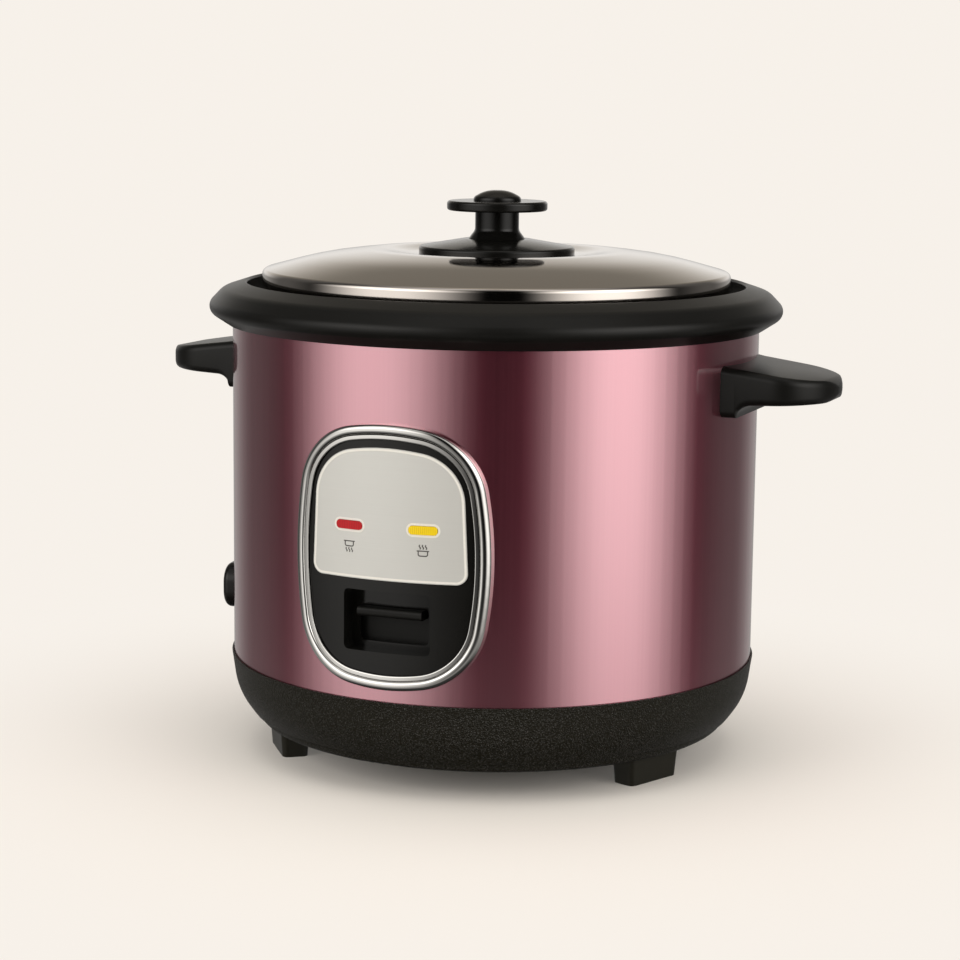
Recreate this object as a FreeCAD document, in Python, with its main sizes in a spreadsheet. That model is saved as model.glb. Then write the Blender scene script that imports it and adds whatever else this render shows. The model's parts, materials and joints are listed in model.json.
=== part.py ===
import FreeCAD, Part
import math
import operator
import os
import Sketcher

# A free-standing rice cooker with a lift-off lid and pot. Millimetres and degrees.
# The origin is on the table below the axis, +Z is up and the control panel faces -Y.

SIZES = [
    # Base tray and feet
    ("foot_height", 13.0, "table to the underside of the tray"),
    ("foot_width", 33.0, "foot, measured round the tray"),
    ("foot_depth", 14.0, "foot, measured along the radius"),
    ("foot_draft", 0.9, "how far the foot narrows towards the table on each side"),
    ("foot_round", 3.0, "rounded upright edges of a foot"),
    ("foot_set_in", 6.5, "foot's outer face inside the tray's lower tier"),
    ("foot_turn", 7.0, "turn of the three feet from the panel's centre line"),
    ("peg_radius", 3.0, "peg that fixes a foot in the tray"),
    ("peg_stand", 2.0, "peg standing above the tray's floor"),
    ("tray_height", 33.0, "underside of the tray to the seam with the shell"),
    ("tray_wall", 2.5, "wall of the tray"),
    ("tray_tier_inset", 12.5, "lower tier inside the tray's rim"),
    ("tray_tier_height", 5.0, "height of the lower tier"),
    ("tray_step", 2.5, "step between the lower tier and the bowl"),
    ("tray_bend_inset", 2.6, "bend of the bowl inside the rim"),
    ("tray_bend_height", 15.0, "bend of the bowl above the underside"),
    ("tray_bend_round", 30.0, "rounding of the bowl's bend"),
    ("tray_edge_round", 4.0, "rounded bottom edge of the tray"),
    ("lip_depth", 3.0, "how deep the shell stands in the tray's lip"),
    ("lip_wall", 0.8, "lip outside the shell"),
    ("ledge_width", 3.5, "ledge that carries the shell"),
    ("vent_width", 3.2, "vent slot in the tray's floor"),
    ("vent_inner", 38.0, "inner end of a vent slot"),
    ("vent_outer", 66.0, "outer end of a vent slot"),
    # Shell and ring
    ("shell_radius", 125.0, "outside of the painted shell"),
    ("shell_wall", 0.8, "steel sheet of the shell"),
    ("shell_play", 0.2, "shell to the lips round it"),
    ("skirt_depth", 6.3, "ring's skirt over the shell's top edge"),
    ("skirt_wall", 2.0, "foot of the ring's skirt"),
    ("ring_web", 2.6, "thickness of the ring's shelf"),
    ("ring_nose_reach", 13.4, "nose of the ring past the shell, before rounding"),
    ("ring_nose_height", 7.3, "nose above the ring's lower edge"),
    ("ring_nose_round", 4.5, "rounded nose"),
    ("ring_shoulder_reach", 5.0, "shoulder of the ring past the shell"),
    ("ring_shoulder_height", 16.1, "shoulder above the ring's lower edge"),
    ("ring_shoulder_round", 8.0, "rounded shoulder"),
    ("ring_edge_round", 1.2, "rounded top edge of the mouth"),
    ("ring_mouth_inset", 6.8, "mouth of the ring inside the shell"),
    ("mouth_depth", 11.1, "mouth's top edge above the shelf"),
    ("shelf_width", 5.9, "shelf that carries the liner"),
    # Liner, pot and lid
    ("liner_play", 0.8, "liner inside the shelf"),
    ("liner_wall", 0.8, "steel sheet of the liner"),
    ("works_height", 30.0, "room for the switch works, seam to the liner's underside"),
    ("liner_depth", 136.4, "shelf down to the liner's underside"),
    ("liner_round", 25.0, "rounded bottom edge of the liner"),
    ("liner_flange", 5.5, "liner's flange on the shelf"),
    ("pot_gap", 4.2, "pot inside the liner"),
    ("pot_wall", 1.2, "aluminium of the pot"),
    ("pot_round", 18.0, "rounded bottom edge of the pot"),
    ("pot_flange", 9.5, "pot's rim past its wall"),
    ("pot_rim", 1.5, "thickness of the rim"),
    ("pot_play", 0.5, "rim above the liner's flange"),
    ("lid_inset", 5.0, "lid inside the pot's rim"),
    ("lid_wall", 0.8, "steel sheet of the lid"),
    ("lid_skirt", 13.3, "height of the lid's upright edge"),
    ("lid_fold_round", 2.5, "rounded fold above the skirt"),
    ("lid_shoulder_inset", 26.0, "shoulder of the dome inside the fold"),
    ("lid_shoulder_rise", 7.1, "shoulder above the fold"),
    ("lid_shoulder_round", 150.0, "curve of the dome at its shoulder"),
    ("lid_crest_radius", 56.0, "ridge round the sunk centre"),
    ("lid_crest_rise", 10.5, "ridge above the fold"),
    ("lid_crest_round", 60.0, "curve of the ridge"),
    ("lid_dish_radius", 40.0, "flat sunk centre"),
    ("lid_dish_rise", 8.0, "sunk centre above the fold"),
    ("lid_dish_round", 40.0, "curve round the sunk centre"),
    ("steam_hole_radius", 2.5, "steam hole behind the knob"),
    ("steam_hole_place", 70.0, "steam hole from the axis"),
    # Lid knob
    ("knob_base_radius", 37.0, "foot plate of the knob"),
    ("knob_base_rim", 3.4, "rim of the foot plate"),
    ("knob_base_round", 1.4, "rounded rim"),
    ("knob_base_height", 7.0, "height of the foot plate"),
    ("knob_base_top", 16.5, "top of the foot plate"),
    ("knob_flare", 13.5, "lower end of the stem"),
    ("knob_flare_height", 4.1, "flare of the stem"),
    ("knob_stem_radius", 10.4, "waist of the stem"),
    ("knob_stem_height", 13.3, "foot plate to the grip"),
    ("knob_grip_radius", 23.8, "grip disc"),
    ("knob_grip_height", 4.6, "thickness of the grip disc"),
    ("knob_grip_round", 2.1, "rounded edge of the grip disc"),
    ("cap_radius", 11.3, "domed cap on the knob"),
    ("cap_height", 5.0, "height of the cap"),
    ("cap_edge", 3.4, "height of the cap's edge"),
    ("cap_round", 3.5, "rounded edge of the cap"),
    ("cap_spigot", 8.9, "spigot under the cap"),
    ("cap_spigot_depth", 1.7, "depth of the spigot"),
    ("knob_screw_reach", 10.0, "screw inside the stem"),
    ("washer_radius", 6.5, "washer under the lid"),
    ("washer_height", 1.2, "thickness of the washer"),
    # Screws
    ("screw_radius", 2.0, "shank of every screw"),
    ("screw_play", 0.1, "screw in its hole"),
    ("screw_head_radius", 3.7, "pan head"),
    ("screw_head_height", 2.4, "pan head"),
    # Handles
    ("handle_reach", 43.5, "tip of a handle past the shell"),
    ("handle_half_width", 33.0, "half the width at the shell"),
    ("handle_tip_half", 30.0, "half the width at the tip, before rounding"),
    ("handle_tip_round", 24.0, "rounded tip, seen from above"),
    ("handle_top_drop", 11.5, "top of the handle below the ring"),
    ("handle_flange_height", 23.5, "height of the flange on the shell"),
    ("handle_flange", 4.6, "thickness of the flange"),
    ("handle_root_drop", 17.6, "underside of the grip below its top, at the shell"),
    ("handle_tip_top_drop", 6.4, "fall of the top towards the tip"),
    ("handle_tip_height", 9.6, "thickness of the tip"),
    ("handle_gusset_round", 5.0, "hollow under the grip"),
    ("handle_edge_round", 2.0, "rounded edges of the tip, seen from the side"),
    ("handle_screw_angle", 8.0, "screws each side of a handle's middle"),
    ("handle_screw_reach", 12.0, "screw inside the handle"),
    ("handle_screw_drop", 10.0, "screws below the handle's top"),
    # Control panel
    ("panel_rise", 5.0, "bezel above the seam"),
    ("panel_height", 120.4, "bezel, bottom to top, before rounding"),
    ("panel_half_width", 49.0, "half the width of the bezel, before rounding"),
    ("panel_arch_slope", 0.1457, "fall of the bezel's top per unit of width"),
    ("panel_side_slope", 0.155, "narrowing of the bezel per unit of height"),
    ("panel_corner_share", 0.274, "corners of the bezel per unit of its height"),
    ("panel_crown_round", 105.0, "rounded middle of the arches"),
    ("panel_side_share", 1.578, "rounded middle of the sides per unit of height"),
    ("bezel_band", 4.8, "width of the bezel's outer band"),
    ("bezel_lip", 2.0, "width of the bezel's inner lip"),
    ("bezel_height", 4.6, "outer band above the shell"),
    ("bezel_lip_height", 3.6, "inner lip above the shell"),
    ("bezel_round", 1.9, "rounded edges of the outer band"),
    ("bezel_rebate", 3.4, "fascia's flange inside the bezel's edge"),
    ("bezel_peg_radius", 0.9, "pegs behind the bezel"),
    ("bezel_peg_inset", 4.35, "pegs inside the bezel's half width"),
    ("bezel_peg_length", 4.0, "pegs behind the shell's face"),
    ("bezel_peg_spread", 12.0, "pegs above and below the panel's middle"),
    ("clip_radius", 3.2, "push-on clip on a peg"),
    ("clip_height", 0.6, "thickness of a clip"),
    ("clip_play", 0.1, "clip to the curved sheet and to its peg"),
    ("window_inset", 8.5, "window in the shell inside the bezel's edge"),
    ("fascia_flange", 1.2, "flange of the fascia under the bezel"),
    ("fascia_height", 2.4, "face of the fascia above the shell"),
    ("panel_play", 0.2, "fascia inside the bezel"),
    ("label_inset", 10.4, "label inside the bezel's edge"),
    ("label_height", 59.6, "label, bottom to top, before rounding"),
    ("label_side_inset", 11.8, "label's lower corners inside the bezel's half width"),
    ("label_side_slope", 0.045, "narrowing of the label per unit of height"),
    ("label_corner_round", 5.0, "lower corners of the label"),
    ("label_wall", 0.4, "thickness of the label"),
    ("label_glue", 0.3, "adhesive film under the label"),
    ("lens_width", 13.0, "indicator lens"),
    ("lens_height", 3.8, "indicator lens"),
    ("lens_round", 1.7, "rounded ends of a lens"),
    ("lens_spread", 17.6, "lens from the panel's middle"),
    ("lens_drop", 46.6, "lens below the bezel's top"),
    ("lens_stand", 0.5, "lens above the label"),
    ("lens_flange", 1.3, "flange behind the fascia"),
    ("lens_depth", 2.0, "thickness of the lens's flange"),
    ("sleeve_wall", 1.2, "lamp sleeve behind a lens"),
    ("lamp_radius", 2.4, "lamp behind a lens"),
    ("lamp_length", 8.4, "lamp behind a lens"),
    ("lamp_play", 0.1, "lamp in its sleeve"),
    ("lamp_gap", 1.6, "lamp behind the lens, whose back is curved"),
    ("well_width", 41.5, "switch well"),
    ("well_height", 27.3, "switch well"),
    ("well_rise", 17.8, "switch well above the bezel's lower edge"),
    ("well_depth", 9.0, "switch well"),
    ("well_round", 2.5, "corners of the switch well"),
    ("well_wall", 1.5, "walls of the switch well"),
    ("slot_width", 33.0, "opening for the lever's knob"),
    ("slot_height", 16.5, "opening for the lever's knob"),
    ("slot_rise", 2.7, "opening above the well's lower edge"),
    ("slot_round", 2.0, "corners of the opening"),
    # Switch lever
    ("pivot_reach", 45.0, "lever's pivot in front of the axis"),
    ("pivot_drop", 10.0, "lever's pivot below the liner"),
    ("pivot_radius", 2.0, "pivot pin"),
    ("pivot_play", 0.05, "pin in its holes"),
    ("pivot_stand", 1.0, "pin past the bracket's ears"),
    ("arm_half_width", 6.0, "half the width of the lever arm"),
    ("arm_wall", 1.5, "steel of the lever arm"),
    ("arm_drop", 4.0, "arm's underside below the pivot"),
    ("arm_tail", 9.0, "arm behind the magnet rod"),
    ("arm_ear_wall", 1.2, "ears of the lever arm"),
    ("arm_ear_half", 7.0, "half the length of an ear"),
    ("arm_ear_rise", 4.0, "ear above the pivot"),
    ("arm_bend_round", 3.0, "bend of the arm below the knob"),
    ("knob_plate_gap", 4.2, "lever's face plate behind the well's floor"),
    ("knob_plate_wall", 2.0, "lever's face plate"),
    ("knob_plate_half", 18.0, "half the width of the face plate"),
    ("knob_plate_over", 2.0, "face plate below the opening"),
    ("knob_plate_cover", 5.0, "face plate above the opening, to close it when pressed"),
    ("knob_riser_drop", 5.0, "top of the riser below the face plate's top"),
    ("ledge_half_width", 15.5, "half the width of the lever's ledge"),
    ("ledge_height", 4.2, "lever's ledge"),
    ("ledge_reach", 5.0, "ledge past the well's floor"),
    ("ledge_drop", 0.3, "ledge below the opening's top"),
    ("ledge_round", 1.6, "rounded front of the ledge"),
    ("bracket_gap", 0.4, "lever arm between the bracket's ears"),
    ("bracket_wall", 1.2, "steel of the bracket"),
    ("bracket_half_depth", 6.0, "half the depth of the bracket"),
    ("bracket_half_width", 16.0, "half the width of the bracket's plate"),
    ("bracket_ear_drop", 4.0, "ear below the pivot"),
    ("rivet_place", 12.0, "rivets each side of the middle"),
    ("rivet_radius", 1.6, "rivet through the liner"),
    ("rivet_head_radius", 3.0, "rivet's head"),
    ("rivet_head_height", 1.2, "rivet's head"),
    # Micro switch
    ("switch_length", 20.0, "micro switch, front to back"),
    ("switch_width", 11.0, "micro switch, side to side"),
    ("switch_height", 18.0, "micro switch"),
    ("switch_round", 1.2, "corners of the micro switch"),
    ("switch_setback", 5.0, "micro switch behind the pivot"),
    ("plunger_radius", 1.5, "plunger of the micro switch"),
    ("plunger_play", 0.15, "plunger in its bore"),
    ("plunger_stand", 3.7, "plunger above the micro switch"),
    ("plunger_depth", 5.0, "plunger inside the micro switch"),
    ("plunger_stroke", 1.5, "room below the plunger"),
    ("plunger_gap", 0.3, "plunger below the lever arm"),
    ("blade_wall", 0.8, "connecting blades"),
    ("blade_width", 4.8, "connecting blades"),
    ("blade_length", 8.0, "connecting blades"),
    ("blade_pitch", 6.4, "connecting blades"),
    # Sensor and magnet
    ("cap_head_radius", 17.0, "sensor cap in the heating plate"),
    ("cap_head_height", 16.0, "sensor cap"),
    ("cap_head_wall", 1.0, "wall of the sensor cap"),
    ("cap_head_top", 1.5, "top of the sensor cap"),
    ("cap_head_round", 1.4, "rounded top edge of the sensor cap"),
    ("ferrite_radius", 7.6, "ferrite under the cap"),
    ("ferrite_height", 4.0, "ferrite under the cap"),
    ("sleeve_bore", 8.2, "sleeve round the magnet"),
    ("sleeve_tube", 1.3, "wall of the sleeve"),
    ("sleeve_top_gap", 6.5, "sleeve's top below the underside of the cap"),
    ("sleeve_below", 2.0, "sleeve below the liner"),
    ("sleeve_floor", 1.2, "floor of the sleeve"),
    ("sleeve_flange_radius", 19.5, "sleeve's flange on the liner"),
    ("sleeve_flange", 1.2, "thickness of the flange"),
    ("sleeve_play", 0.4, "sleeve in the liner"),
    ("magnet_radius", 7.4, "magnet in the sleeve"),
    ("magnet_height", 4.0, "magnet in the sleeve"),
    ("magnet_gap", 5.9, "magnet below the ferrite"),
    ("rod_radius", 2.2, "rod under the magnet"),
    ("rod_play", 0.4, "rod in the sleeve's floor"),
    ("rod_hole_play", 1.2, "rod in the lever arm"),
    ("collar_radius", 5.0, "collars on the rod"),
    ("collar_height", 1.8, "collars on the rod"),
    ("collar_gap", 0.6, "collars to the lever arm"),
    ("rod_tail", 1.6, "rod below the lower collar"),
    ("cap_spring_mean", 12.6, "sensor spring, middle of the wire"),
    ("cap_spring_wire", 0.6, "wire radius of the sensor spring"),
    ("cap_spring_turns", 5.0, "turns of the sensor spring"),
    ("rod_spring_mean", 4.2, "magnet spring, middle of the wire"),
    ("rod_spring_wire", 0.35, "wire radius of the magnet spring"),
    ("rod_spring_turns", 5.0, "turns of the magnet spring"),
    ("spring_play", 0.1, "spring to its seats"),
    # Heating plate
    ("plate_leg", 7.2, "legs under the heating plate"),
    ("plate_leg_radius", 6.0, "legs under the heating plate"),
    ("plate_disc", 6.0, "disc of the heating plate"),
    ("plate_rib", 8.0, "rib that holds the heating tube"),
    ("plate_rib_inner", 53.0, "rib that holds the heating tube"),
    ("plate_rib_outer", 73.0, "rib that holds the heating tube"),
    ("plate_edge_round", 2.0, "rounded edges of the heating plate"),
    ("plate_inset", 0.5, "plate inside the pot's flat bottom"),
    ("plate_hole", 20.0, "hole for the sensor cap"),
    ("terminal_radius", 1.6, "heater terminals"),
    ("terminal_reach", 14.0, "terminals below the liner"),
    ("terminal_angle", 17.0, "terminals each side of the rear centre line"),
    ("bush_radius", 4.0, "ceramic bush in the liner"),
    ("bush_flange", 1.6, "flange of the bush under the liner"),
    ("bush_flange_height", 3.5, "flange of the bush under the liner"),
    ("bush_stand", 2.2, "bush above the liner"),
    ("bush_play", 0.1, "bush on its terminal and in the liner"),
    ("plate_screw_reach", 5.0, "screw inside a leg"),
    # Thermostat and fuse
    ("thermostat_radius", 9.0, "keep-warm thermostat"),
    ("thermostat_height", 6.0, "keep-warm thermostat"),
    ("thermostat_foot_radius", 7.0, "lower part of the thermostat"),
    ("thermostat_foot_height", 4.0, "lower part of the thermostat"),
    ("thermostat_x", 38.0, "thermostat to the right of the axis"),
    ("thermostat_y", 22.0, "thermostat behind the axis"),
    ("fuse_radius", 2.5, "thermal fuse"),
    ("fuse_length", 22.0, "thermal fuse"),
    ("fuse_play", 0.3, "fuse below the liner"),
    ("fuse_y", 34.0, "fuse behind the axis"),
    ("fuse_x", 30.0, "fuse to the left of the axis"),
    ("strap_wall", 0.8, "clip round the fuse"),
    ("strap_tab", 5.0, "tabs of the clip"),
    ("strap_width", 8.0, "clip round the fuse"),
    ("strap_round", 2.4, "bends of the clip"),
    # Tie posts
    ("post_inset", 6.5, "posts inside the liner's flat floor"),
    ("post_radius", 4.0, "posts between tray and liner"),
    ("boss_radius", 6.5, "bosses in the tray"),
    ("boss_height", 6.5, "bosses above the tray's floor"),
    ("post_screw_reach", 10.0, "screw inside a post"),
    # Power inlet
    ("inlet_angle", -80.0, "inlet, turned from the panel about the axis"),
    ("inlet_rise", 25.0, "inlet's centre above the seam"),
    ("inlet_half_width", 17.0, "hood of the inlet"),
    ("inlet_half_height", 11.0, "hood of the inlet"),
    ("inlet_stand", 7.0, "hood past the shell"),
    ("inlet_round", 9.0, "corners of the hood"),
    ("inlet_edge_round", 3.0, "rounded front edge of the hood"),
    ("inlet_wall", 3.6, "wall round the recess"),
    ("inlet_recess_round", 3.0, "corners of the recess"),
    ("inlet_depth", 15.0, "recess of the inlet"),
    ("inlet_back", 2.5, "back wall of the inlet"),
    ("inlet_seat", 2.0, "hood's seat round the hole in the shell"),
    ("inlet_play", 0.2, "inlet in the shell"),
    ("pin_half_width", 1.0, "inlet pins"),
    ("pin_half_height", 2.0, "inlet pins"),
    ("pin_pitch", 7.0, "inlet pins"),
    ("pin_offset", 1.8, "middle pin above the outer ones, and the outer below"),
    ("pin_recess", 6.0, "pins behind the hood's front"),
    ("pin_tail", 6.0, "pins behind the inlet"),
]

POST_ANGLES = (60.0, 180.0, 300.0)
LEG_ANGLES = (30.0, 150.0, 270.0)
FOOT_ANGLES = {"foot_right": 60.0, "foot_rear": 180.0, "foot_left": 300.0}
HANDLE_ANGLES = {"handle_right": 90.0, "handle_left": 270.0}
VENT_COUNT = 12
FULL_TURN = 360.0
UP = FreeCAD.Vector(0, 0, 1)

doc = FreeCAD.newDocument("RiceCooker")
sheet = doc.addObject("Spreadsheet::Sheet", "Sizes")
for row, (alias, number, note) in enumerate(SIZES, start=1):
    sheet.set(f"A{row}", note)
    sheet.set(f"B{row}", str(number))
    sheet.setAlias(f"B{row}", alias)
doc.recompute()


class Size:
    """A size from the sheet, or sums of them: a value now and an expression for the document."""

    def __init__(self, value, text):
        self.value = value
        self.text = text

    def _joined(self, other, sign, swap=False):
        other = as_size(other)
        left, right = (other, self) if swap else (self, other)
        operation = {"+": operator.add, "-": operator.sub, "*": operator.mul, "/": operator.truediv}[sign]
        return Size(operation(left.value, right.value), f"({left.text} {sign} {right.text})")

    def __add__(self, other):
        return self._joined(other, "+")

    def __radd__(self, other):
        return self._joined(other, "+", swap=True)

    def __sub__(self, other):
        return self._joined(other, "-")

    def __rsub__(self, other):
        return self._joined(other, "-", swap=True)

    def __mul__(self, other):
        return self._joined(other, "*")

    def __rmul__(self, other):
        return self._joined(other, "*", swap=True)

    def __truediv__(self, other):
        return self._joined(other, "/")

    def __neg__(self):
        return Size(-self.value, f"(-{self.text})")


class Sheet:
    """The sheet's sizes, by their names."""

    def __getattr__(self, alias):
        return Size(float(sheet.get(alias)), f"Sizes.{alias}")


def as_size(number):
    """A plain number as a size of its own."""
    return number if isinstance(number, Size) else Size(float(number), repr(float(number)))


def root(size):
    """Square root of a size."""
    return Size(math.sqrt(size.value), f"sqrt({size.text})")


def arc_sine(size):
    """The angle of a sine, in degrees."""
    return Size(math.degrees(math.asin(size.value)), f"(asin({size.text}) / 1 deg)")


def polar(radius, degrees):
    """The place at a radius and an angle, counted from the panel towards +X."""
    degrees = as_size(degrees)
    turned = math.radians(degrees.value)
    sine = Size(math.sin(turned), f"sin({degrees.text} * 1 deg)")
    cosine = Size(math.cos(turned), f"cos({degrees.text} * 1 deg)")
    return radius * sine, -(radius * cosine)


s = Sheet()

# Heights that several pieces share
tray_bottom = s.foot_height
tray_floor = tray_bottom + s.tray_wall
seam = tray_bottom + s.tray_height
shell_bottom = seam - s.lip_depth
liner_bottom = seam + s.works_height
shelf_top = liner_bottom + s.liner_depth
shell_top = shelf_top - s.ring_web
ring_bottom = shell_top - s.skirt_depth
liner_rim = shelf_top + s.liner_wall
liner_floor = liner_bottom + s.liner_wall
plate_bottom = liner_floor + s.plate_leg
plate_top = plate_bottom + s.plate_rib + s.plate_disc
pot_rim_bottom = liner_rim + s.pot_play
pot_rim_top = pot_rim_bottom + s.pot_rim
lid_fold = pot_rim_top + s.lid_skirt
lid_centre = lid_fold + s.lid_dish_rise
knob_bottom = lid_centre + s.knob_base_height
grip_bottom = knob_bottom + s.knob_stem_height
grip_top = grip_bottom + s.knob_grip_height
handle_top = ring_bottom - s.handle_top_drop
panel_bottom = seam + s.panel_rise
panel_top = panel_bottom + s.panel_height
panel_middle = panel_bottom + s.panel_height / 2
panel_corner_round = s.panel_height * s.panel_corner_share
panel_side_round = s.panel_height * s.panel_side_share
well_bottom = panel_bottom + s.well_rise
slot_bottom = well_bottom + s.slot_rise
slot_top = slot_bottom + s.slot_height
pivot_height = liner_bottom - s.pivot_drop
arm_bottom = pivot_height - s.arm_drop
arm_top = arm_bottom + s.arm_wall
switch_top = arm_bottom - s.plunger_gap - s.plunger_stand
cap_underside = plate_top - s.cap_head_top
ferrite_bottom = cap_underside - s.ferrite_height
magnet_top = ferrite_bottom - s.magnet_gap
magnet_bottom = magnet_top - s.magnet_height
sleeve_bottom = liner_bottom - s.sleeve_below
sleeve_seat = liner_floor + s.sleeve_flange
collar_top = arm_top + s.collar_gap + s.collar_height
post_bottom = tray_floor + s.boss_height
inlet_height = seam + s.inlet_rise

# Radii that several pieces share
shell_inside = s.shell_radius - s.shell_wall
lip_radius = s.shell_radius + s.shell_play + s.lip_wall
tier_radius = lip_radius - s.tray_tier_inset
mouth_radius = s.shell_radius - s.ring_mouth_inset
shelf_radius = mouth_radius - s.shelf_width
liner_radius = shelf_radius - s.liner_play
pot_radius = liner_radius - s.liner_wall - s.pot_gap
pot_rim_radius = pot_radius + s.pot_flange
lid_radius = pot_rim_radius - s.lid_inset
post_place = liner_radius - s.liner_round - s.post_inset
leg_place = (s.plate_rib_inner + s.plate_rib_outer) / 2
foot_outer = tier_radius - s.foot_set_in
fascia_face = s.shell_radius + s.fascia_height
label_back = fascia_face + s.label_glue
label_face = label_back + s.label_wall
well_floor = fascia_face - s.well_depth
well_back = well_floor - s.well_wall
knob_plate_front = well_back - s.knob_plate_gap
knob_plate_back = knob_plate_front - s.knob_plate_wall
screw_hole = s.screw_radius + s.screw_play
sleeve_outer = s.sleeve_bore + s.sleeve_tube
bracket_inner = s.arm_half_width + s.bracket_gap
bracket_outer = bracket_inner + s.bracket_wall

pieces = []


def piece(obj, label):
    """Mark a finished piece, under the name that it is kept by."""
    obj.Label = label
    pieces.append(obj)
    return obj


def rounding(before, here, after, radius):
    """Where the arc that rounds a corner starts and ends, and its centre."""
    back = (before - here).normalize()
    ahead = (after - here).normalize()
    half = back.getAngle(ahead) / 2
    reach = radius / math.tan(half)
    middle = (back + ahead).normalize()
    return here + back * reach, here + ahead * reach, here + middle * (radius / math.sin(half))


class Outline:
    """Geometry and constraints of one sketch, gathered before they are added."""

    def __init__(self, sketch):
        self.sketch = sketch
        self.curves = []
        self.points = []
        self.constraints = []
        self.bindings = []

    def constrain(self, kind, *places, size=None):
        values = [] if size is None else [size.value]
        if size is not None:
            self.bindings.append((len(self.constraints), size.text))
        self.constraints.append(Sketcher.Constraint(kind, *places, *values))

    def place(self, geometry, position, x, y):
        for size, kind, axis in ((as_size(x), "DistanceX", -2), (as_size(y), "DistanceY", -1)):
            if size.value == 0:
                self.constrain("PointOnObject", geometry, position, axis)
            else:
                self.constrain(kind, -1, 1, geometry, position, size=size)

    def add_circle(self, x, y, radius):
        index = len(self.curves)
        centre = FreeCAD.Vector(as_size(x).value, as_size(y).value, 0)
        self.curves.append(Part.Circle(centre, UP, radius.value))
        self.place(index, 3, x, y)
        self.constrain("Radius", index, size=radius)

    def add_corners(self, corners):
        """Straight runs between corners (x, y), or (x, y, radius) where a corner is rounded."""
        count = len(corners)
        spots = [FreeCAD.Vector(as_size(c[0]).value, as_size(c[1]).value, 0) for c in corners]
        starts, ends, arcs = list(spots), list(spots), {}
        for i, corner in enumerate(corners):
            if len(corner) == 3:
                before, after = spots[i - 1], spots[(i + 1) % count]
                ends[i], starts[i], centre = rounding(before, spots[i], after, corner[2].value)
                turn = (spots[i] - before).cross(after - spots[i]).z
                first, last = (ends[i], starts[i]) if turn > 0 else (starts[i], ends[i])
                angles = [math.atan2((p - centre).y, (p - centre).x) for p in (first, last)]
                circle = Part.Circle(centre, UP, corner[2].value)
                arcs[i] = (Part.ArcOfCircle(circle, *angles), turn > 0)
        lines = len(self.curves)
        for i in range(count):
            self.curves.append(Part.LineSegment(starts[i], ends[(i + 1) % count]))
        for i, corner in enumerate(corners):
            line, before = lines + i, lines + (i - 1) % count
            if i not in arcs:
                self.constrain("Coincident", before, 2, line, 1)
                self.place(line, 1, corner[0], corner[1])
                continue
            arc, forward = arcs[i]
            index = len(self.curves)
            self.curves.append(arc)
            entry, leave = (1, 2) if forward else (2, 1)
            self.constrain("Tangent", before, 2, index, entry)
            self.constrain("Tangent", index, leave, line, 1)
            self.constrain("Radius", index, size=corner[2])
            self.points.append((spots[i], before, line, corner))

    def finish(self):
        self.sketch.addGeometry(self.curves, False)
        for spot, before, line, corner in self.points:
            point = self.sketch.addGeometry(Part.Point(spot), True)
            self.constrain("PointOnObject", point, 1, before)
            self.constrain("PointOnObject", point, 1, line)
            self.place(point, 1, corner[0], corner[1])
        self.sketch.addConstraint(self.constraints)
        for index, text in self.bindings:
            self.sketch.setExpression(f"Constraints[{index}]", text)


class Round:
    """A circle in a sketch."""

    def __init__(self, x, y, radius):
        self.x, self.y, self.radius = x, y, radius


def body(name):
    return doc.addObject("PartDesign::Body", name)


def sketch(owner, name, role, outlines, lift=None):
    """A constrained sketch on one of a body's own planes, lifted along the plane's normal."""
    made = owner.newObject("Sketcher::SketchObject", name)
    plane = next(f for f in owner.Origin.OriginFeatures if f.Role == role)
    made.AttachmentSupport = [(plane, "")]
    made.MapMode = "FlatFace"
    if lift is not None:
        lift = as_size(lift)
        made.AttachmentOffset = FreeCAD.Placement(UP * lift.value, FreeCAD.Rotation())
        made.setExpression("AttachmentOffset.Base.z", lift.text)
    drawn = Outline(made)
    for outline in outlines:
        if isinstance(outline, Round):
            drawn.add_circle(outline.x, outline.y, outline.radius)
        else:
            drawn.add_corners(outline)
    drawn.finish()
    return made


def revolve(owner, name, corners, axis="V_Axis"):
    """A turned form, from a half section in the XZ plane."""
    feature = owner.newObject("PartDesign::Revolution", name)
    feature.Profile = sketch(owner, f"{name}_section", "XZ_Plane", [corners])
    feature.ReferenceAxis = (feature.Profile[0], [axis])
    feature.Angle = FULL_TURN
    return feature


def pad(owner, name, role, outlines, start, length):
    """A form of one section, from its starting plane along the plane's normal."""
    feature = owner.newObject("PartDesign::Pad", name)
    feature.Profile = sketch(owner, f"{name}_outline", role, outlines, start)
    feature.setExpression("Length", as_size(length).text)
    return feature


def pocket(owner, name, outlines, top, depth):
    """A cut down from a height."""
    feature = owner.newObject("PartDesign::Pocket", name)
    feature.Profile = sketch(owner, f"{name}_outline", "XY_Plane", outlines, top)
    feature.setExpression("Length", as_size(depth).text)
    return feature


def revolved(name, corners, axis="V_Axis"):
    made = body(name)
    revolve(made, f"{name}_turned", corners, axis)
    return made


def padded(name, role, outlines, start, length):
    made = body(name)
    pad(made, f"{name}_pad", role, outlines, start, length)
    return made


def boolean(kind, name, **shapes):
    made = doc.addObject(f"Part::{kind}", name)
    for prop, value in shapes.items():
        setattr(made, prop, value)
    return made


def group(name, members):
    return boolean("Compound", name, Links=members)


def cut(name, base, tools):
    return boolean("Cut", name, Base=base, Tool=group(f"{name}_tools", tools))


def fuse(name, members):
    return boolean("MultiFuse", name, Shapes=members)


def common(name, members):
    return boolean("MultiCommon", name, Shapes=members)


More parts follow.
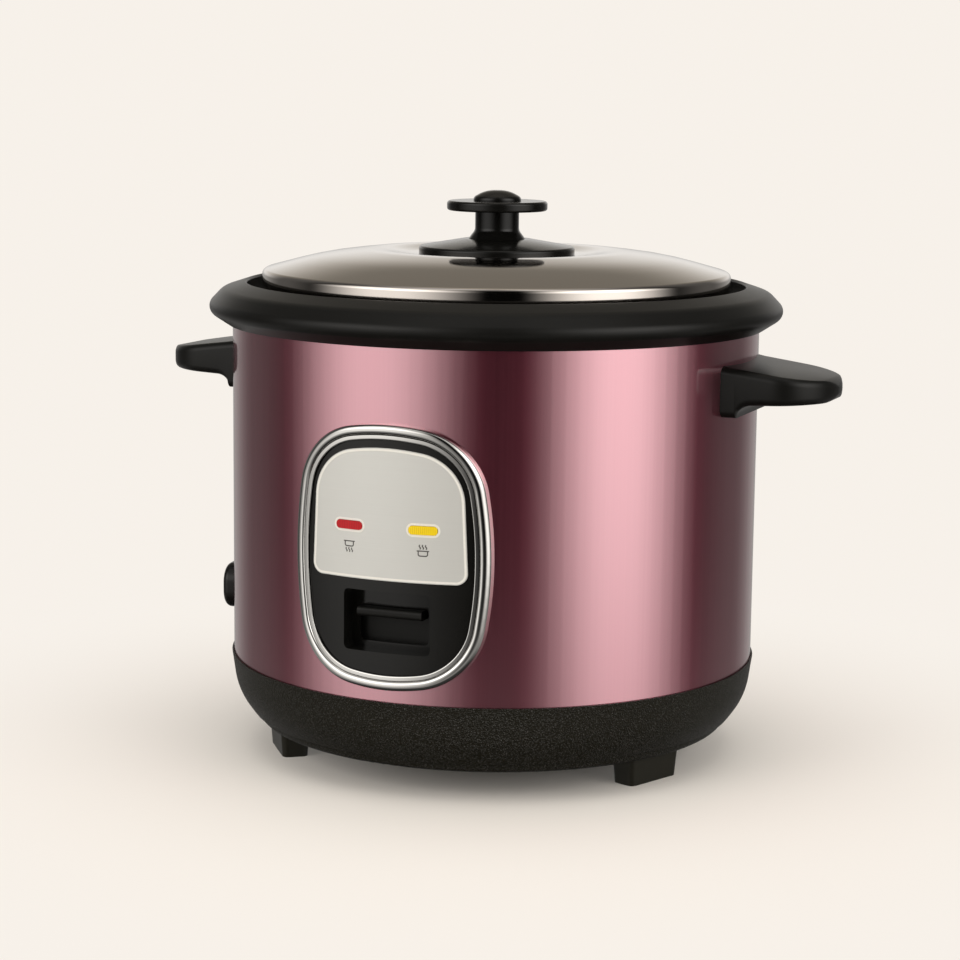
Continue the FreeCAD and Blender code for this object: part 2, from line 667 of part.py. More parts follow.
def turn(obj, degrees, lift=0.0):
    """Turn a piece about the cooker's axis, and lift it."""
    degrees, lift = as_size(degrees), as_size(lift)
    obj.Placement = FreeCAD.Placement(UP * lift.value, FreeCAD.Rotation(UP, degrees.value))
    obj.setExpression("Placement.Rotation.Angle", degrees.text)
    obj.setExpression("Placement.Base.z", lift.text)
    return obj


def move(obj, x, y, z):
    """Set a piece in its place without turning it."""
    for axis, size in zip("xyz", (as_size(x), as_size(y), as_size(z))):
        obj.setExpression(f"Placement.Base.{axis}", size.text)
    return obj


def copy(name, original):
    made = doc.addObject("App::Link", name)
    made.LinkedObject = original
    return made


def box(x_low, x_high, y_low, y_high):
    """The four corners of a rectangle."""
    return [(x_low, y_low), (x_high, y_low), (x_high, y_high), (x_low, y_high)]


def rounded_box(half_width, low, high, radius, middle=0.0):
    """A rectangle about a middle line, with its four corners rounded."""
    left, right = middle - half_width, middle + half_width
    return [(left, low, radius), (right, low, radius), (right, high, radius), (left, high, radius)]


def wall(name, inner, outer):
    """The round wall that pieces on the shell are cut from."""
    return revolved(name, box(inner, outer, shell_bottom, shell_top))


def curved_plate(name, outlines, inner, outer):
    """A plate of the given front outline that follows the shell's curve."""
    blank = padded(f"{name}_blank", "XZ_Plane", outlines, 0.0, outer + s.bezel_height)
    return common(name, [blank, wall(f"{name}_wall", inner, outer)])


def screw_section(reach):
    """Half section of a pan-head screw along its axis: head below zero, shank above."""
    return [(-s.screw_head_height, 0.0), (reach, 0.0), (reach, s.screw_radius),
            (0.0, s.screw_radius), (0.0, s.screw_head_radius),
            (-s.screw_head_height, s.screw_head_radius, s.screw_head_height / 2)]


def upright(section):
    """A section along X stood up along Z."""
    return [(corner[1], corner[0], *corner[2:]) for corner in section]


def edge_fillet(name, base, radius, wanted):
    """Round the edges of a solid that a test picks out."""
    doc.recompute()
    made = body(name)
    made.BaseFeature = base
    rounded = made.newObject("PartDesign::Fillet", f"{name}_fillet")
    picked = [f"Edge{i}" for i, edge in enumerate(base.Shape.Edges, start=1) if wanted(edge)]
    rounded.Base = (made.Group[0], picked)
    rounded.setExpression("Radius", radius.text)
    return made


def radius_of(point):
    return math.hypot(point.x, point.y)


def make_base_tray():
    """Black tray with a lower tier, a bowl and a lip that takes the shell."""
    bend_radius = lip_radius - s.tray_bend_inset
    step_radius = tier_radius + s.tray_step
    step_height = tray_bottom + s.tray_tier_height
    bend_height = tray_bottom + s.tray_bend_height
    lip_inner = s.shell_radius + s.shell_play
    ledge_inner = s.shell_radius - s.ledge_width
    tray = body("base_tray_body")
    revolve(tray, "tray_bowl", [
        (0.0, tray_bottom), (tier_radius, tray_bottom, s.tray_edge_round), (tier_radius, step_height),
        (step_radius, step_height), (bend_radius, bend_height, s.tray_bend_round), (lip_radius, seam),
        (lip_inner, seam), (lip_inner, shell_bottom), (ledge_inner, shell_bottom),
        (bend_radius - s.tray_wall, bend_height + s.tray_wall),
        (tier_radius - s.tray_wall, step_height + s.tray_wall),
        (tier_radius - s.tray_wall - s.tray_step, tray_floor), (0.0, tray_floor)])
    posts = [polar(post_place, angle) for angle in POST_ANGLES]
    pad(tray, "tray_bosses", "XY_Plane", [Round(x, y, s.boss_radius) for x, y in posts],
        tray_floor, s.boss_height)
    pocket(tray, "tray_screw_holes", [Round(x, y, screw_hole) for x, y in posts],
           post_bottom, post_bottom)
    recess = s.screw_head_radius + s.screw_play
    pocket(tray, "tray_head_recesses", [Round(x, y, recess) for x, y in posts],
           tray_floor + s.screw_play, tray_floor)
    feet = [polar(foot_outer - s.foot_depth / 2, angle) for angle in foot_angles()]
    pocket(tray, "tray_peg_holes", [Round(x, y, s.peg_radius + s.screw_play) for x, y in feet],
           tray_floor, tray_floor)
    slot = [(s.vent_inner, -s.vent_width / 2), (s.vent_outer, -s.vent_width / 2),
            (s.vent_outer, s.vent_width / 2), (s.vent_inner, s.vent_width / 2)]
    vent = pocket(tray, "tray_vent", [slot], tray_floor, tray_floor)
    vents = tray.newObject("PartDesign::PolarPattern", "tray_vents")
    vents.Originals = [vent]
    vents.Axis = (vent.Profile[0], ["N_Axis"])
    vents.Angle = FULL_TURN
    vents.Occurrences = VENT_COUNT
    tray.Tip = vents
    piece(tray, "base_tray")


def foot_angles():
    """Angles of the feet, counted from the panel."""
    return [s.foot_turn + angle for angle in FOOT_ANGLES.values()]


def make_feet():
    """Three tapered feet with pegs through the tray's floor."""
    middle = foot_outer - s.foot_depth / 2
    for name, angle in FOOT_ANGLES.items():
        foot = body(f"{name}_body")
        sections = []
        for level, height, draft in (("low", as_size(0.0), s.foot_draft),
                                     ("high", tray_bottom, as_size(0.0))):
            outline = rounded_box(s.foot_width / 2 - draft, -foot_outer + draft,
                                  -foot_outer + s.foot_depth - draft, s.foot_round)
            sections.append(sketch(foot, f"{name}_{level}", "XY_Plane", [outline], height))
        block = foot.newObject("PartDesign::AdditiveLoft", f"{name}_block")
        block.Profile = sections[0]
        block.Sections = sections[1:]
        block.Ruled = True
        pad(foot, f"{name}_peg", "XY_Plane", [Round(0.0, -middle, s.peg_radius)],
            tray_bottom, s.tray_wall + s.peg_stand)
        piece(turn(foot, s.foot_turn + angle), name)


def panel_corners(inset):
    """Lower corners of the outline that runs at an inset inside the bezel's edge."""
    arch, side = s.panel_arch_slope, s.panel_side_slope
    low = panel_bottom + inset * root(1.0 + arch * arch)
    half = s.panel_half_width - inset * root(1.0 + side * side)
    shoulder = (half - (panel_middle - low) * side) / (1.0 - arch * side)
    return low, half, shoulder, low + shoulder * arch


def panel_outline(inset):
    """The bezel's outline, or one inside it: eight rounded corners."""
    low, half, shoulder, shoulder_low = panel_corners(inset)
    high, shoulder_high = (panel_middle * 2 - level for level in (low, shoulder_low))
    crown, corner, side = (radius - inset for radius in (
        s.panel_crown_round, panel_corner_round, panel_side_round))
    return [(0.0, low, crown), (shoulder, shoulder_low, corner), (half, panel_middle, side),
            (shoulder, shoulder_high, corner), (0.0, high, crown),
            (-shoulder, shoulder_high, corner), (-half, panel_middle, side),
            (-shoulder, shoulder_low, corner)]


def label_outline():
    """The label: the panel's arched top over almost upright sides and a straight lower edge."""
    arch, side = s.panel_arch_slope, s.label_side_slope
    high = panel_middle * 2 - panel_corners(s.label_inset)[0]
    bottom = high - s.label_height
    half = s.panel_half_width - s.label_side_inset
    shoulder = (half - s.label_height * side) / (1.0 - arch * side)
    shoulder_high = high - shoulder * arch
    corner = panel_corner_round - s.label_inset
    return [(half, bottom, s.label_corner_round), (shoulder, shoulder_high, corner),
            (0.0, high, s.panel_crown_round - s.label_inset),
            (-shoulder, shoulder_high, corner), (-half, bottom, s.label_corner_round)]


def lens_outline(middle, grow=0.0):
    """An indicator lens, with ends rounded almost to half circles."""
    grow = as_size(grow)
    height = panel_top - s.lens_drop
    half = s.lens_height / 2 + grow
    return rounded_box(s.lens_width / 2 + grow, height - half, height + half, s.lens_round + grow, middle)


def well_outline(grow=0.0):
    grow = as_size(grow)
    return rounded_box(s.well_width / 2 + grow, well_bottom - grow, well_bottom + s.well_height + grow,
                       s.well_round + grow)


def slot_outline():
    return rounded_box(s.slot_width / 2, slot_bottom, slot_top, s.slot_round)


def inlet_outline(grow):
    """Outline of the inlet's hood, or of what lies inside it."""
    return rounded_box(s.inlet_half_width + grow, inlet_height - s.inlet_half_height - grow,
                       inlet_height + s.inlet_half_height + grow, s.inlet_round + grow)


def peg_angle():
    """Angle of the bezel's pegs from the panel's middle."""
    return arc_sine((s.panel_half_width - s.bezel_peg_inset) / s.shell_radius)


def along_radius(name, section):
    """A turned form about X, for screws and pegs that point away from the axis."""
    return revolved(name, section, "H_Axis")


def peg_heights():
    return panel_middle - s.bezel_peg_spread, panel_middle + s.bezel_peg_spread


def peg_copies(name, original):
    """The four places of the bezel's pegs, for the pegs, their holes or their clips."""
    made = []
    for side in (-1, 1):
        for level, height in enumerate(peg_heights()):
            place = copy(f"{name}_{'left' if side < 0 else 'right'}_{level}", original)
            made.append(turn(place, peg_angle() * side - FULL_TURN / 4, height))
    return made


def make_shell():
    """Painted steel shell with openings for the panel, the inlet and the screws."""
    sheet_wall = wall("shell_sheet", shell_inside, s.shell_radius)
    window = padded("shell_window", "XZ_Plane", [panel_outline(s.window_inset)], 0.0, lip_radius)
    inlet = padded("shell_inlet", "XZ_Plane", [inlet_outline(-s.inlet_seat)], 0.0, lip_radius)
    turn(inlet, s.inlet_angle)
    bore = along_radius("shell_screw_bore", box(shell_inside - s.clip_radius, lip_radius, 0.0, screw_hole))
    peg_bore = along_radius("shell_peg_bore", box(shell_inside - s.clip_radius, lip_radius, 0.0,
                                                  s.bezel_peg_radius + s.clip_play))
    tools = [window, inlet] + handle_copies("shell_screw_hole", bore) + peg_copies("shell_peg_hole", peg_bore)
    piece(cut("outer_shell_sheet", sheet_wall, tools), "outer_shell")


def make_ring():
    """Black ring round the mouth, whose shelf carries the liner."""
    nose = s.shell_radius + s.ring_nose_reach
    shoulder = s.shell_radius + s.ring_shoulder_reach
    skirt = s.shell_radius + s.shell_play
    piece(revolved("top_ring_body", [
        (shelf_radius, shell_top), (shelf_radius, shelf_top), (mouth_radius, shelf_top),
        (mouth_radius, shelf_top + s.mouth_depth, s.ring_edge_round),
        (shoulder, ring_bottom + s.ring_shoulder_height, s.ring_shoulder_round),
        (nose, ring_bottom + s.ring_nose_height, s.ring_nose_round),
        (skirt + s.skirt_wall, ring_bottom), (skirt, ring_bottom), (skirt, shell_top)]), "top_ring")


def leg_places():
    return [polar(leg_place, angle) for angle in LEG_ANGLES]


def terminal_places():
    half_turn = FULL_TURN / 2
    return [polar(leg_place, s.terminal_angle * side + half_turn) for side in (-1, 1)]


def rivet_places():
    return [(side * s.rivet_place, -s.pivot_reach) for side in (-1, 1)]


def make_liner():
    """Steel liner that hangs on the ring's shelf, pierced in its floor."""
    liner = body("inner_liner_body")
    hole = sleeve_outer + s.sleeve_play
    inside = liner_radius - s.liner_wall
    revolve(liner, "liner_sheet", [
        (hole, liner_bottom), (liner_radius, liner_bottom, s.liner_round), (liner_radius, shelf_top),
        (liner_radius + s.liner_flange, shelf_top), (liner_radius + s.liner_flange, liner_rim),
        (inside, liner_rim), (inside, liner_floor, s.liner_round - s.liner_wall), (hole, liner_floor)])
    holes = [Round(x, y, s.bush_radius + s.bush_play) for x, y in terminal_places()]
    holes += [Round(x, y, screw_hole) for x, y in leg_places()]
    holes += [Round(x, y, s.rivet_radius + s.screw_play) for x, y in rivet_places()]
    pocket(liner, "liner_holes", holes, liner_floor, s.liner_wall * 2)
    piece(liner, "inner_liner")


def make_pot():
    """Lift-out aluminium pot with a flat rim, standing on the heating plate."""
    inside = pot_radius - s.pot_wall
    piece(revolved("inner_pot_body", [
        (0.0, plate_top), (pot_radius, plate_top, s.pot_round), (pot_radius, pot_rim_bottom),
        (pot_rim_radius, pot_rim_bottom), (pot_rim_radius, pot_rim_top), (inside, pot_rim_top, s.pot_wall),
        (inside, plate_top + s.pot_wall, s.pot_round - s.pot_wall), (0.0, plate_top + s.pot_wall)]),
        "inner_pot")


def make_lid():
    """Polished domed lid with an upright skirt and a sunk centre."""
    hole = screw_hole
    crest_height = lid_fold + s.lid_crest_rise
    shoulder_radius = lid_radius - s.lid_shoulder_inset
    shoulder_height = lid_fold + s.lid_shoulder_rise
    sheet_wall = s.lid_wall
    lid = body("lid_shell_body")
    revolve(lid, "lid_sheet", [
        (lid_radius - sheet_wall, pot_rim_top), (lid_radius, pot_rim_top),
        (lid_radius, lid_fold, s.lid_fold_round), (shoulder_radius, shoulder_height, s.lid_shoulder_round),
        (s.lid_crest_radius, crest_height, s.lid_crest_round),
        (s.lid_dish_radius, lid_centre, s.lid_dish_round),
        (hole, lid_centre), (hole, lid_centre - sheet_wall),
        (s.lid_dish_radius, lid_centre - sheet_wall, s.lid_dish_round + sheet_wall),
        (s.lid_crest_radius, crest_height - sheet_wall, s.lid_crest_round - sheet_wall),
        (shoulder_radius, shoulder_height - sheet_wall, s.lid_shoulder_round - sheet_wall),
        (lid_radius - sheet_wall, lid_fold - sheet_wall, s.lid_fold_round - sheet_wall)])
    pocket(lid, "lid_steam_hole", [Round(0.0, s.steam_hole_place, s.steam_hole_radius)],
           crest_height, s.lid_skirt)
    piece(lid, "lid_shell")


def make_lid_knob():
    """Foot plate, stem with a grip disc, domed cap, and the screw and washer below."""
    piece(revolved("knob_base_body", [
        (screw_hole, lid_centre), (s.knob_base_radius, lid_centre),
        (s.knob_base_radius, lid_centre + s.knob_base_rim, s.knob_base_round),
        (s.knob_base_top, knob_bottom), (screw_hole, knob_bottom)]), "lid_knob_base")
    bore_top = knob_bottom + s.knob_screw_reach + s.screw_play
    spigot = s.cap_spigot + s.screw_play
    spigot_bottom = grip_top - s.cap_spigot_depth
    piece(revolved("knob_body", [
        (screw_hole, knob_bottom), (s.knob_flare, knob_bottom),
        (s.knob_stem_radius, knob_bottom + s.knob_flare_height, s.knob_flare_height),
        (s.knob_stem_radius, grip_bottom), (s.knob_grip_radius, grip_bottom, s.knob_grip_round),
        (s.knob_grip_radius, grip_top, s.knob_grip_round), (spigot, grip_top), (spigot, spigot_bottom),
        (0.0, spigot_bottom), (0.0, bore_top), (screw_hole, bore_top)]), "lid_knob")
    piece(revolved("knob_cap_body", [
        (0.0, spigot_bottom), (s.cap_spigot, spigot_bottom), (s.cap_spigot, grip_top),
        (s.cap_radius, grip_top), (s.cap_radius, grip_top + s.cap_edge, s.cap_round),
        (0.0, grip_top + s.cap_height)]), "lid_knob_cap")
    washer_top = lid_centre - s.lid_wall
    washer_bottom = washer_top - s.washer_height
    piece(revolved("knob_washer_body", box(screw_hole, s.washer_radius, washer_bottom, washer_top)),
          "lid_knob_washer")
    reach = knob_bottom + s.knob_screw_reach - washer_bottom
    screw = revolved("knob_screw_body", upright(screw_section(reach)))
    piece(move(screw, 0.0, 0.0, washer_bottom), "lid_knob_screw")


def handle_copies(name, original, sides=tuple(HANDLE_ANGLES.values())):
    """The two places of a screw on each handle."""
    made = []
    for angle in sides:
        for side in (-1, 1):
            place = copy(f"{name}_{int(angle)}_{'front' if side < 0 else 'rear'}", original)
            start = angle - FULL_TURN / 4
            made.append(turn(place, s.handle_screw_angle * side + start, handle_top - s.handle_screw_drop))
    return made


def make_handles():
    """Two side grips, each with a flange on the shell, held by screws from inside."""
    root = s.shell_radius - s.handle_flange
    flange = s.shell_radius + s.handle_flange
    tip = s.shell_radius + s.handle_reach
    tip_top = handle_top - s.handle_tip_top_drop
    seat = revolved("handle_seat", box(0.0, s.shell_radius, shell_bottom, shell_top))
    bore_end = s.shell_radius + s.handle_screw_reach + s.screw_play
    bore = along_radius("handle_bore", box(shell_inside, bore_end, 0.0, screw_hole))
    for name, angle in HANDLE_ANGLES.items():
        plan = padded(f"{name}_plan", "XY_Plane", [[
            (0.0, -s.handle_half_width), (tip, -s.handle_tip_half, s.handle_tip_round),
            (tip, s.handle_tip_half, s.handle_tip_round), (0.0, s.handle_half_width)]],
            shell_bottom, shell_top)
        side = padded(f"{name}_side", "XZ_Plane", [[
            (0.0, handle_top - s.handle_flange_height),
            (flange - s.handle_edge_round, handle_top - s.handle_flange_height),
            (flange, handle_top - s.handle_root_drop, s.handle_gusset_round),
            (tip, tip_top - s.handle_tip_height, s.handle_edge_round * 2),
            (tip, tip_top, s.handle_edge_round * 2), (root, handle_top), (0.0, handle_top)]],
            -s.handle_half_width * 2, s.handle_half_width * 4)
        grip = common(f"{name}_grip", [plan, side])
        solid = cut(f"{name}_solid", grip, [seat] + handle_copies(f"{name}_bore", bore, (FULL_TURN / 4,)))
        piece(turn(solid, angle - FULL_TURN / 4), name)
    reach = s.handle_screw_reach + s.shell_wall
    screw = along_radius("handle_screw", [
        (shell_inside - s.clip_play + along, *rest) for along, *rest in screw_section(reach)])
    piece(group("handle_screw_set", handle_copies("handle_screw_copy", screw)), "handle_screws")


def make_bezel():
    """Chrome bezel: a rounded outer band, an inner lip, and pegs through the shell."""
    band_top = s.shell_radius + s.bezel_height
    inner = s.bezel_band + s.bezel_lip
    band = curved_plate("bezel_band", [panel_outline(as_size(0.0)), panel_outline(s.bezel_band)],
                        s.shell_radius, band_top)
    limit = band_top.value - s.panel_play.value
    rounded = edge_fillet("bezel_band_rounded", band, s.bezel_round,
                          lambda edge: min(radius_of(v.Point) for v in edge.Vertexes) > limit)
    lip = curved_plate("bezel_lip", [panel_outline(s.bezel_band), panel_outline(inner)],
                       s.shell_radius, s.shell_radius + s.bezel_lip_height)
    rebate = curved_plate("bezel_rebate", [panel_outline(s.bezel_rebate - s.panel_play),
                                           panel_outline(inner + s.panel_play)],
                          shell_inside, s.shell_radius + s.fascia_flange)
    peg = along_radius("bezel_peg", box(s.shell_radius - s.bezel_peg_length, s.shell_radius + s.bezel_lip,
                                        0.0, s.bezel_peg_radius))
    frame = cut("bezel_frame", fuse("bezel_rings", [rounded, lip]), [rebate])
    piece(fuse("panel_bezel_body", [frame] + peg_copies("bezel_peg_copy", peg)), "panel_bezel")
    seat = shell_inside - s.clip_play
    clip = along_radius("bezel_clip", box(seat - s.clip_height, seat, s.bezel_peg_radius + s.clip_play,
                                          s.clip_radius))
    piece(group("bezel_clip_set", peg_copies("bezel_clip_copy", clip)), "bezel_clips")


def make_fascia():
    """Black fascia held under the bezel, with the switch well and the lens openings."""
    inner = s.bezel_band + s.bezel_lip + s.panel_play
    flange = curved_plate("fascia_flange", [panel_outline(s.bezel_rebate)],
                          s.shell_radius, s.shell_radius + s.fascia_flange)
    face = curved_plate("fascia_face", [panel_outline(inner)], s.shell_radius, fascia_face)
    housing = curved_plate("fascia_well", [well_outline(s.well_wall)], well_back, fascia_face)
    hollow = curved_plate("fascia_hollow", [well_outline()], well_floor, label_face)
    slot = padded("fascia_slot", "XZ_Plane", [slot_outline()], 0.0, label_face)
    lenses = [padded(f"fascia_lens_{name}", "XZ_Plane", [lens_outline(middle, s.lamp_play)], 0.0, label_face)
              for name, middle in lens_middles()]
    solid = fuse("fascia_solid", [flange, face, housing])
    piece(cut("panel_fascia_body", solid, [hollow, slot] + lenses), "panel_fascia")
    holes = [lens_outline(middle, s.lamp_play) for _, middle in lens_middles()]
    piece(curved_plate("label_plate_body", [label_outline()] + holes, label_back, label_face), "label_plate")


def lens_middles():
    return (("cook", -s.lens_spread), ("warm", s.lens_spread))


def make_lamps():
    """Two indicator lenses with a sleeve behind each, and the lamp in the sleeve."""
    height = panel_top - s.lens_drop
    back = s.shell_radius - s.lens_depth
    bore = s.lamp_radius + s.lamp_play
    for name, middle in lens_middles():
        stem = curved_plate(f"{name}_stem", [lens_outline(middle)], back, label_face + s.lens_stand)
        flange = curved_plate(f"{name}_flange", [lens_outline(middle, s.lens_flange)], back, s.shell_radius)
        lead = s.lamp_length - s.sleeve_wall
        sleeve = padded(f"{name}_sleeve", "XZ_Plane",
                        [Round(middle, height, bore + s.sleeve_wall), Round(middle, height, bore)],
                        back - lead, lead)
        piece(fuse(f"{name}_lens_body", [stem, flange, sleeve]), f"{name}_lens")
        lamp = body(f"{name}_lamp_body")
        tip = back - s.lamp_gap
        pad(lamp, f"{name}_glass", "XZ_Plane", [Round(middle, height, s.lamp_radius)],
            tip - s.lamp_length, s.lamp_length)
        piece(lamp, f"{name}_lamp")


def make_inlet():
    """Hooded power inlet in the side of the shell, with its pins."""
    front = s.shell_radius + s.inlet_stand
    floor = front - s.inlet_depth
    back = floor - s.inlet_back
    hood = padded("inlet_hood", "XZ_Plane", [inlet_outline(as_size(0.0))], shell_inside, front - shell_inside)
    rounded = edge_fillet(
        "inlet_hood_rounded", hood, s.inlet_edge_round,
        lambda edge: max(v.Point.y for v in edge.Vertexes) < s.clip_play.value - front.value)
    seat = revolved("inlet_seat", box(0.0, s.shell_radius, shell_bottom, shell_top))
    outside = cut("inlet_outside", rounded, [seat])
    body_inset = s.inlet_seat + s.inlet_play
    inside = padded("inlet_inside", "XZ_Plane", [inlet_outline(-body_inset)],
                    back, front - s.inlet_stand - back)
    half_width = s.inlet_half_width - s.inlet_wall
    half_height = s.inlet_half_height - s.inlet_wall
    recess = padded("inlet_recess", "XZ_Plane", [rounded_box(
        half_width, inlet_height - half_height, inlet_height + half_height, s.inlet_recess_round)],
        floor, s.inlet_depth)
    pins = []
    for order in (-1, 0, 1):
        height = inlet_height + (s.pin_offset if order == 0 else -s.pin_offset)
        middle = s.pin_pitch * order
        outline = box(middle - s.pin_half_width, middle + s.pin_half_width,
                      height - s.pin_half_height, height + s.pin_half_height)
        start = back - s.pin_tail
        pins.append(padded(f"inlet_pin_{order + 1}", "XZ_Plane", [outline], start,
                           front - s.pin_recess - start))
    socket = cut("inlet_socket_body", fuse("inlet_solid", [outside, inside]), [recess] + pins)
    piece(turn(socket, s.inlet_angle), "inlet_socket")
    piece(turn(group("inlet_pin_set", pins), s.inlet_angle), "inlet_pins")


def make_heating_plate():
    """Cast heating plate on three legs, its terminals and their bushes, and its screws."""
    rib_bottom = plate_bottom
    disc_bottom = plate_bottom + s.plate_rib
    edge = pot_radius - s.pot_round - s.plate_inset
    plate = body("heating_plate_body")
    revolve(plate, "plate_casting", [
        (s.plate_hole, disc_bottom), (s.plate_rib_inner, disc_bottom), (s.plate_rib_inner, rib_bottom),
        (s.plate_rib_outer, rib_bottom), (s.plate_rib_outer, disc_bottom),
        (edge, disc_bottom, s.plate_edge_round),
        (edge, plate_top, s.plate_edge_round), (s.plate_hole, plate_top)])
    pad(plate, "plate_legs", "XY_Plane", [Round(x, y, s.plate_leg_radius) for x, y in leg_places()],
        liner_floor, s.plate_leg)
    depth = s.plate_screw_reach + s.screw_play
    pocket(plate, "plate_bores", [Round(x, y, screw_hole) for x, y in leg_places()],
           liner_floor + depth, depth * 2)
    piece(plate, "heating_plate")
    terminal = revolved("terminal_rod", box(0.0, s.terminal_radius,
                                            liner_bottom - s.terminal_reach, rib_bottom))
    hole = s.terminal_radius + s.bush_play
    bush = revolved("terminal_bush", [
        (hole, liner_bottom - s.bush_flange_height),
        (s.bush_radius + s.bush_flange, liner_bottom - s.bush_flange_height),
        (s.bush_radius + s.bush_flange, liner_bottom), (s.bush_radius, liner_bottom),
        (s.bush_radius, liner_floor + s.bush_stand), (hole, liner_floor + s.bush_stand)])
    screw = revolved("plate_screw", [
        (across, liner_bottom + along, *rest) for across, along, *rest in
        upright(screw_section(s.liner_wall + s.plate_screw_reach))])
    for label, original, places in (("heater_terminals", terminal, terminal_places()),
                                    ("terminal_bushes", bush, terminal_places()),
                                    ("plate_screws", screw, leg_places())):
        piece(group(f"{label}_set", copies_at(label, original, places)), label)


def copies_at(name, original, places):
    """Copies of an upright form at places on the floor plan."""
    return [move(copy(f"{name}_{i}", original), x, y, 0.0) for i, (x, y) in enumerate(places)]


def spring(name, mean, wire, turns, low, high):
    """A helical compression spring between two seats."""
    made = body(f"{name}_body")
    coil = made.newObject("PartDesign::AdditiveHelix", f"{name}_coil")
    start = low + s.spring_play + wire
    coil.Profile = sketch(made, f"{name}_wire", "XZ_Plane", [Round(mean, start, wire)])
    coil.ReferenceAxis = (coil.Profile[0], ["V_Axis"])
    coil.Mode = "height-turns-growth"
    coil.setExpression("Height", (high - s.spring_play - wire - start).text)
    coil.setExpression("Turns", turns.text)
    piece(made, name)


def make_sensor():
    """Sprung cap in the heating plate with its ferrite, and the sleeve below it."""
    inside = s.cap_head_radius - s.cap_head_wall
    bottom = plate_top - s.cap_head_height
    piece(revolved("sensor_cap_body", [
        (inside, bottom), (s.cap_head_radius, bottom), (s.cap_head_radius, plate_top, s.cap_head_round),
        (0.0, plate_top), (0.0, cap_underside), (inside, cap_underside)]), "sensor_cap")
    piece(revolved("sensor_ferrite_body", box(0.0, s.ferrite_radius, ferrite_bottom, cap_underside)),
          "sensor_ferrite")
    sleeve_top = cap_underside - s.sleeve_top_gap
    rod_hole = s.rod_radius + s.rod_play
    floor_top = sleeve_bottom + s.sleeve_floor
    piece(revolved("sensor_sleeve_body", [
        (rod_hole, sleeve_bottom), (sleeve_outer, sleeve_bottom), (sleeve_outer, liner_floor),
        (s.sleeve_flange_radius, liner_floor), (s.sleeve_flange_radius, sleeve_seat),
        (sleeve_outer, sleeve_seat), (sleeve_outer, sleeve_top), (s.sleeve_bore, sleeve_top),
        (s.sleeve_bore, floor_top), (rod_hole, floor_top)]), "sensor_sleeve")
    spring("sensor_spring", s.cap_spring_mean, s.cap_spring_wire, s.cap_spring_turns,
           sleeve_seat, cap_underside)


def make_magnet():
    """Magnet on a rod whose collars take the lever arm between them, and its spring."""
    lower_top = arm_bottom - s.collar_gap
    lower_bottom = lower_top - s.collar_height
    upper_bottom = arm_top + s.collar_gap
    piece(revolved("magnet_disc_body", box(0.0, s.magnet_radius, magnet_bottom, magnet_top)), "magnet_disc")
    piece(revolved("magnet_rod_body", [
        (0.0, lower_bottom - s.rod_tail), (s.rod_radius, lower_bottom - s.rod_tail),
        (s.rod_radius, lower_bottom), (s.collar_radius, lower_bottom), (s.collar_radius, lower_top),
        (s.rod_radius, lower_top), (s.rod_radius, upper_bottom), (s.collar_radius, upper_bottom),
        (s.collar_radius, collar_top), (s.rod_radius, collar_top), (s.rod_radius, magnet_bottom),
        (0.0, magnet_bottom)]), "magnet_rod")
    spring("magnet_spring", s.rod_spring_mean, s.rod_spring_wire, s.rod_spring_turns,
           collar_top, sleeve_bottom)


def make_lever():
    """Bent steel arm on a pivot, and the knob that shows in the switch well."""
    riser_back = knob_plate_back - s.arm_wall
    plate_high = slot_top + s.knob_plate_cover
    plate_low = slot_bottom - s.knob_plate_over
    riser_top = plate_high - s.knob_riser_drop
    pivot = -s.pivot_reach
    arm = body("lever_arm_body")
    pad(arm, "arm_strip", "YZ_Plane", [[
        (s.arm_tail, arm_bottom), (s.arm_tail, arm_top),
        (-riser_back, arm_top, s.arm_bend_round - s.arm_wall), (-riser_back, riser_top),
        (-knob_plate_back, riser_top), (-knob_plate_back, arm_bottom, s.arm_bend_round)]],
        -s.arm_half_width, s.arm_half_width * 2)
    ear = [(pivot - s.arm_ear_half, arm_bottom), (pivot + s.arm_ear_half, arm_bottom),
           (pivot + s.arm_ear_half, pivot_height + s.arm_ear_rise, s.arm_ear_rise),
           (pivot - s.arm_ear_half, pivot_height + s.arm_ear_rise, s.arm_ear_rise)]
    hole = Round(pivot, pivot_height, s.pivot_radius + s.pivot_play)
    for side, start in (("left", -s.arm_half_width), ("right", s.arm_half_width - s.arm_ear_wall)):
        pad(arm, f"arm_ear_{side}", "YZ_Plane", [ear, hole], start, s.arm_ear_wall)
    pocket(arm, "arm_rod_hole", [Round(0.0, 0.0, s.rod_radius + s.rod_hole_play)], arm_top, s.arm_wall)
    piece(arm, "lever_arm")
    knob = body("lever_knob_body")
    pad(knob, "knob_face", "XZ_Plane", [rounded_box(s.knob_plate_half, plate_low, plate_high, s.slot_round)],
        knob_plate_back, s.knob_plate_wall)
    ledge_top = slot_top - s.ledge_drop
    ledge_front = well_floor + s.ledge_reach
    pad(knob, "knob_ledge", "YZ_Plane", [[
        (-knob_plate_back, ledge_top), (-ledge_front, ledge_top, s.ledge_round),
        (-ledge_front, ledge_top - s.ledge_height, s.ledge_round),
        (-knob_plate_back, ledge_top - s.ledge_height)]],
        -s.ledge_half_width, s.ledge_half_width * 2)
    piece(knob, "lever_knob")


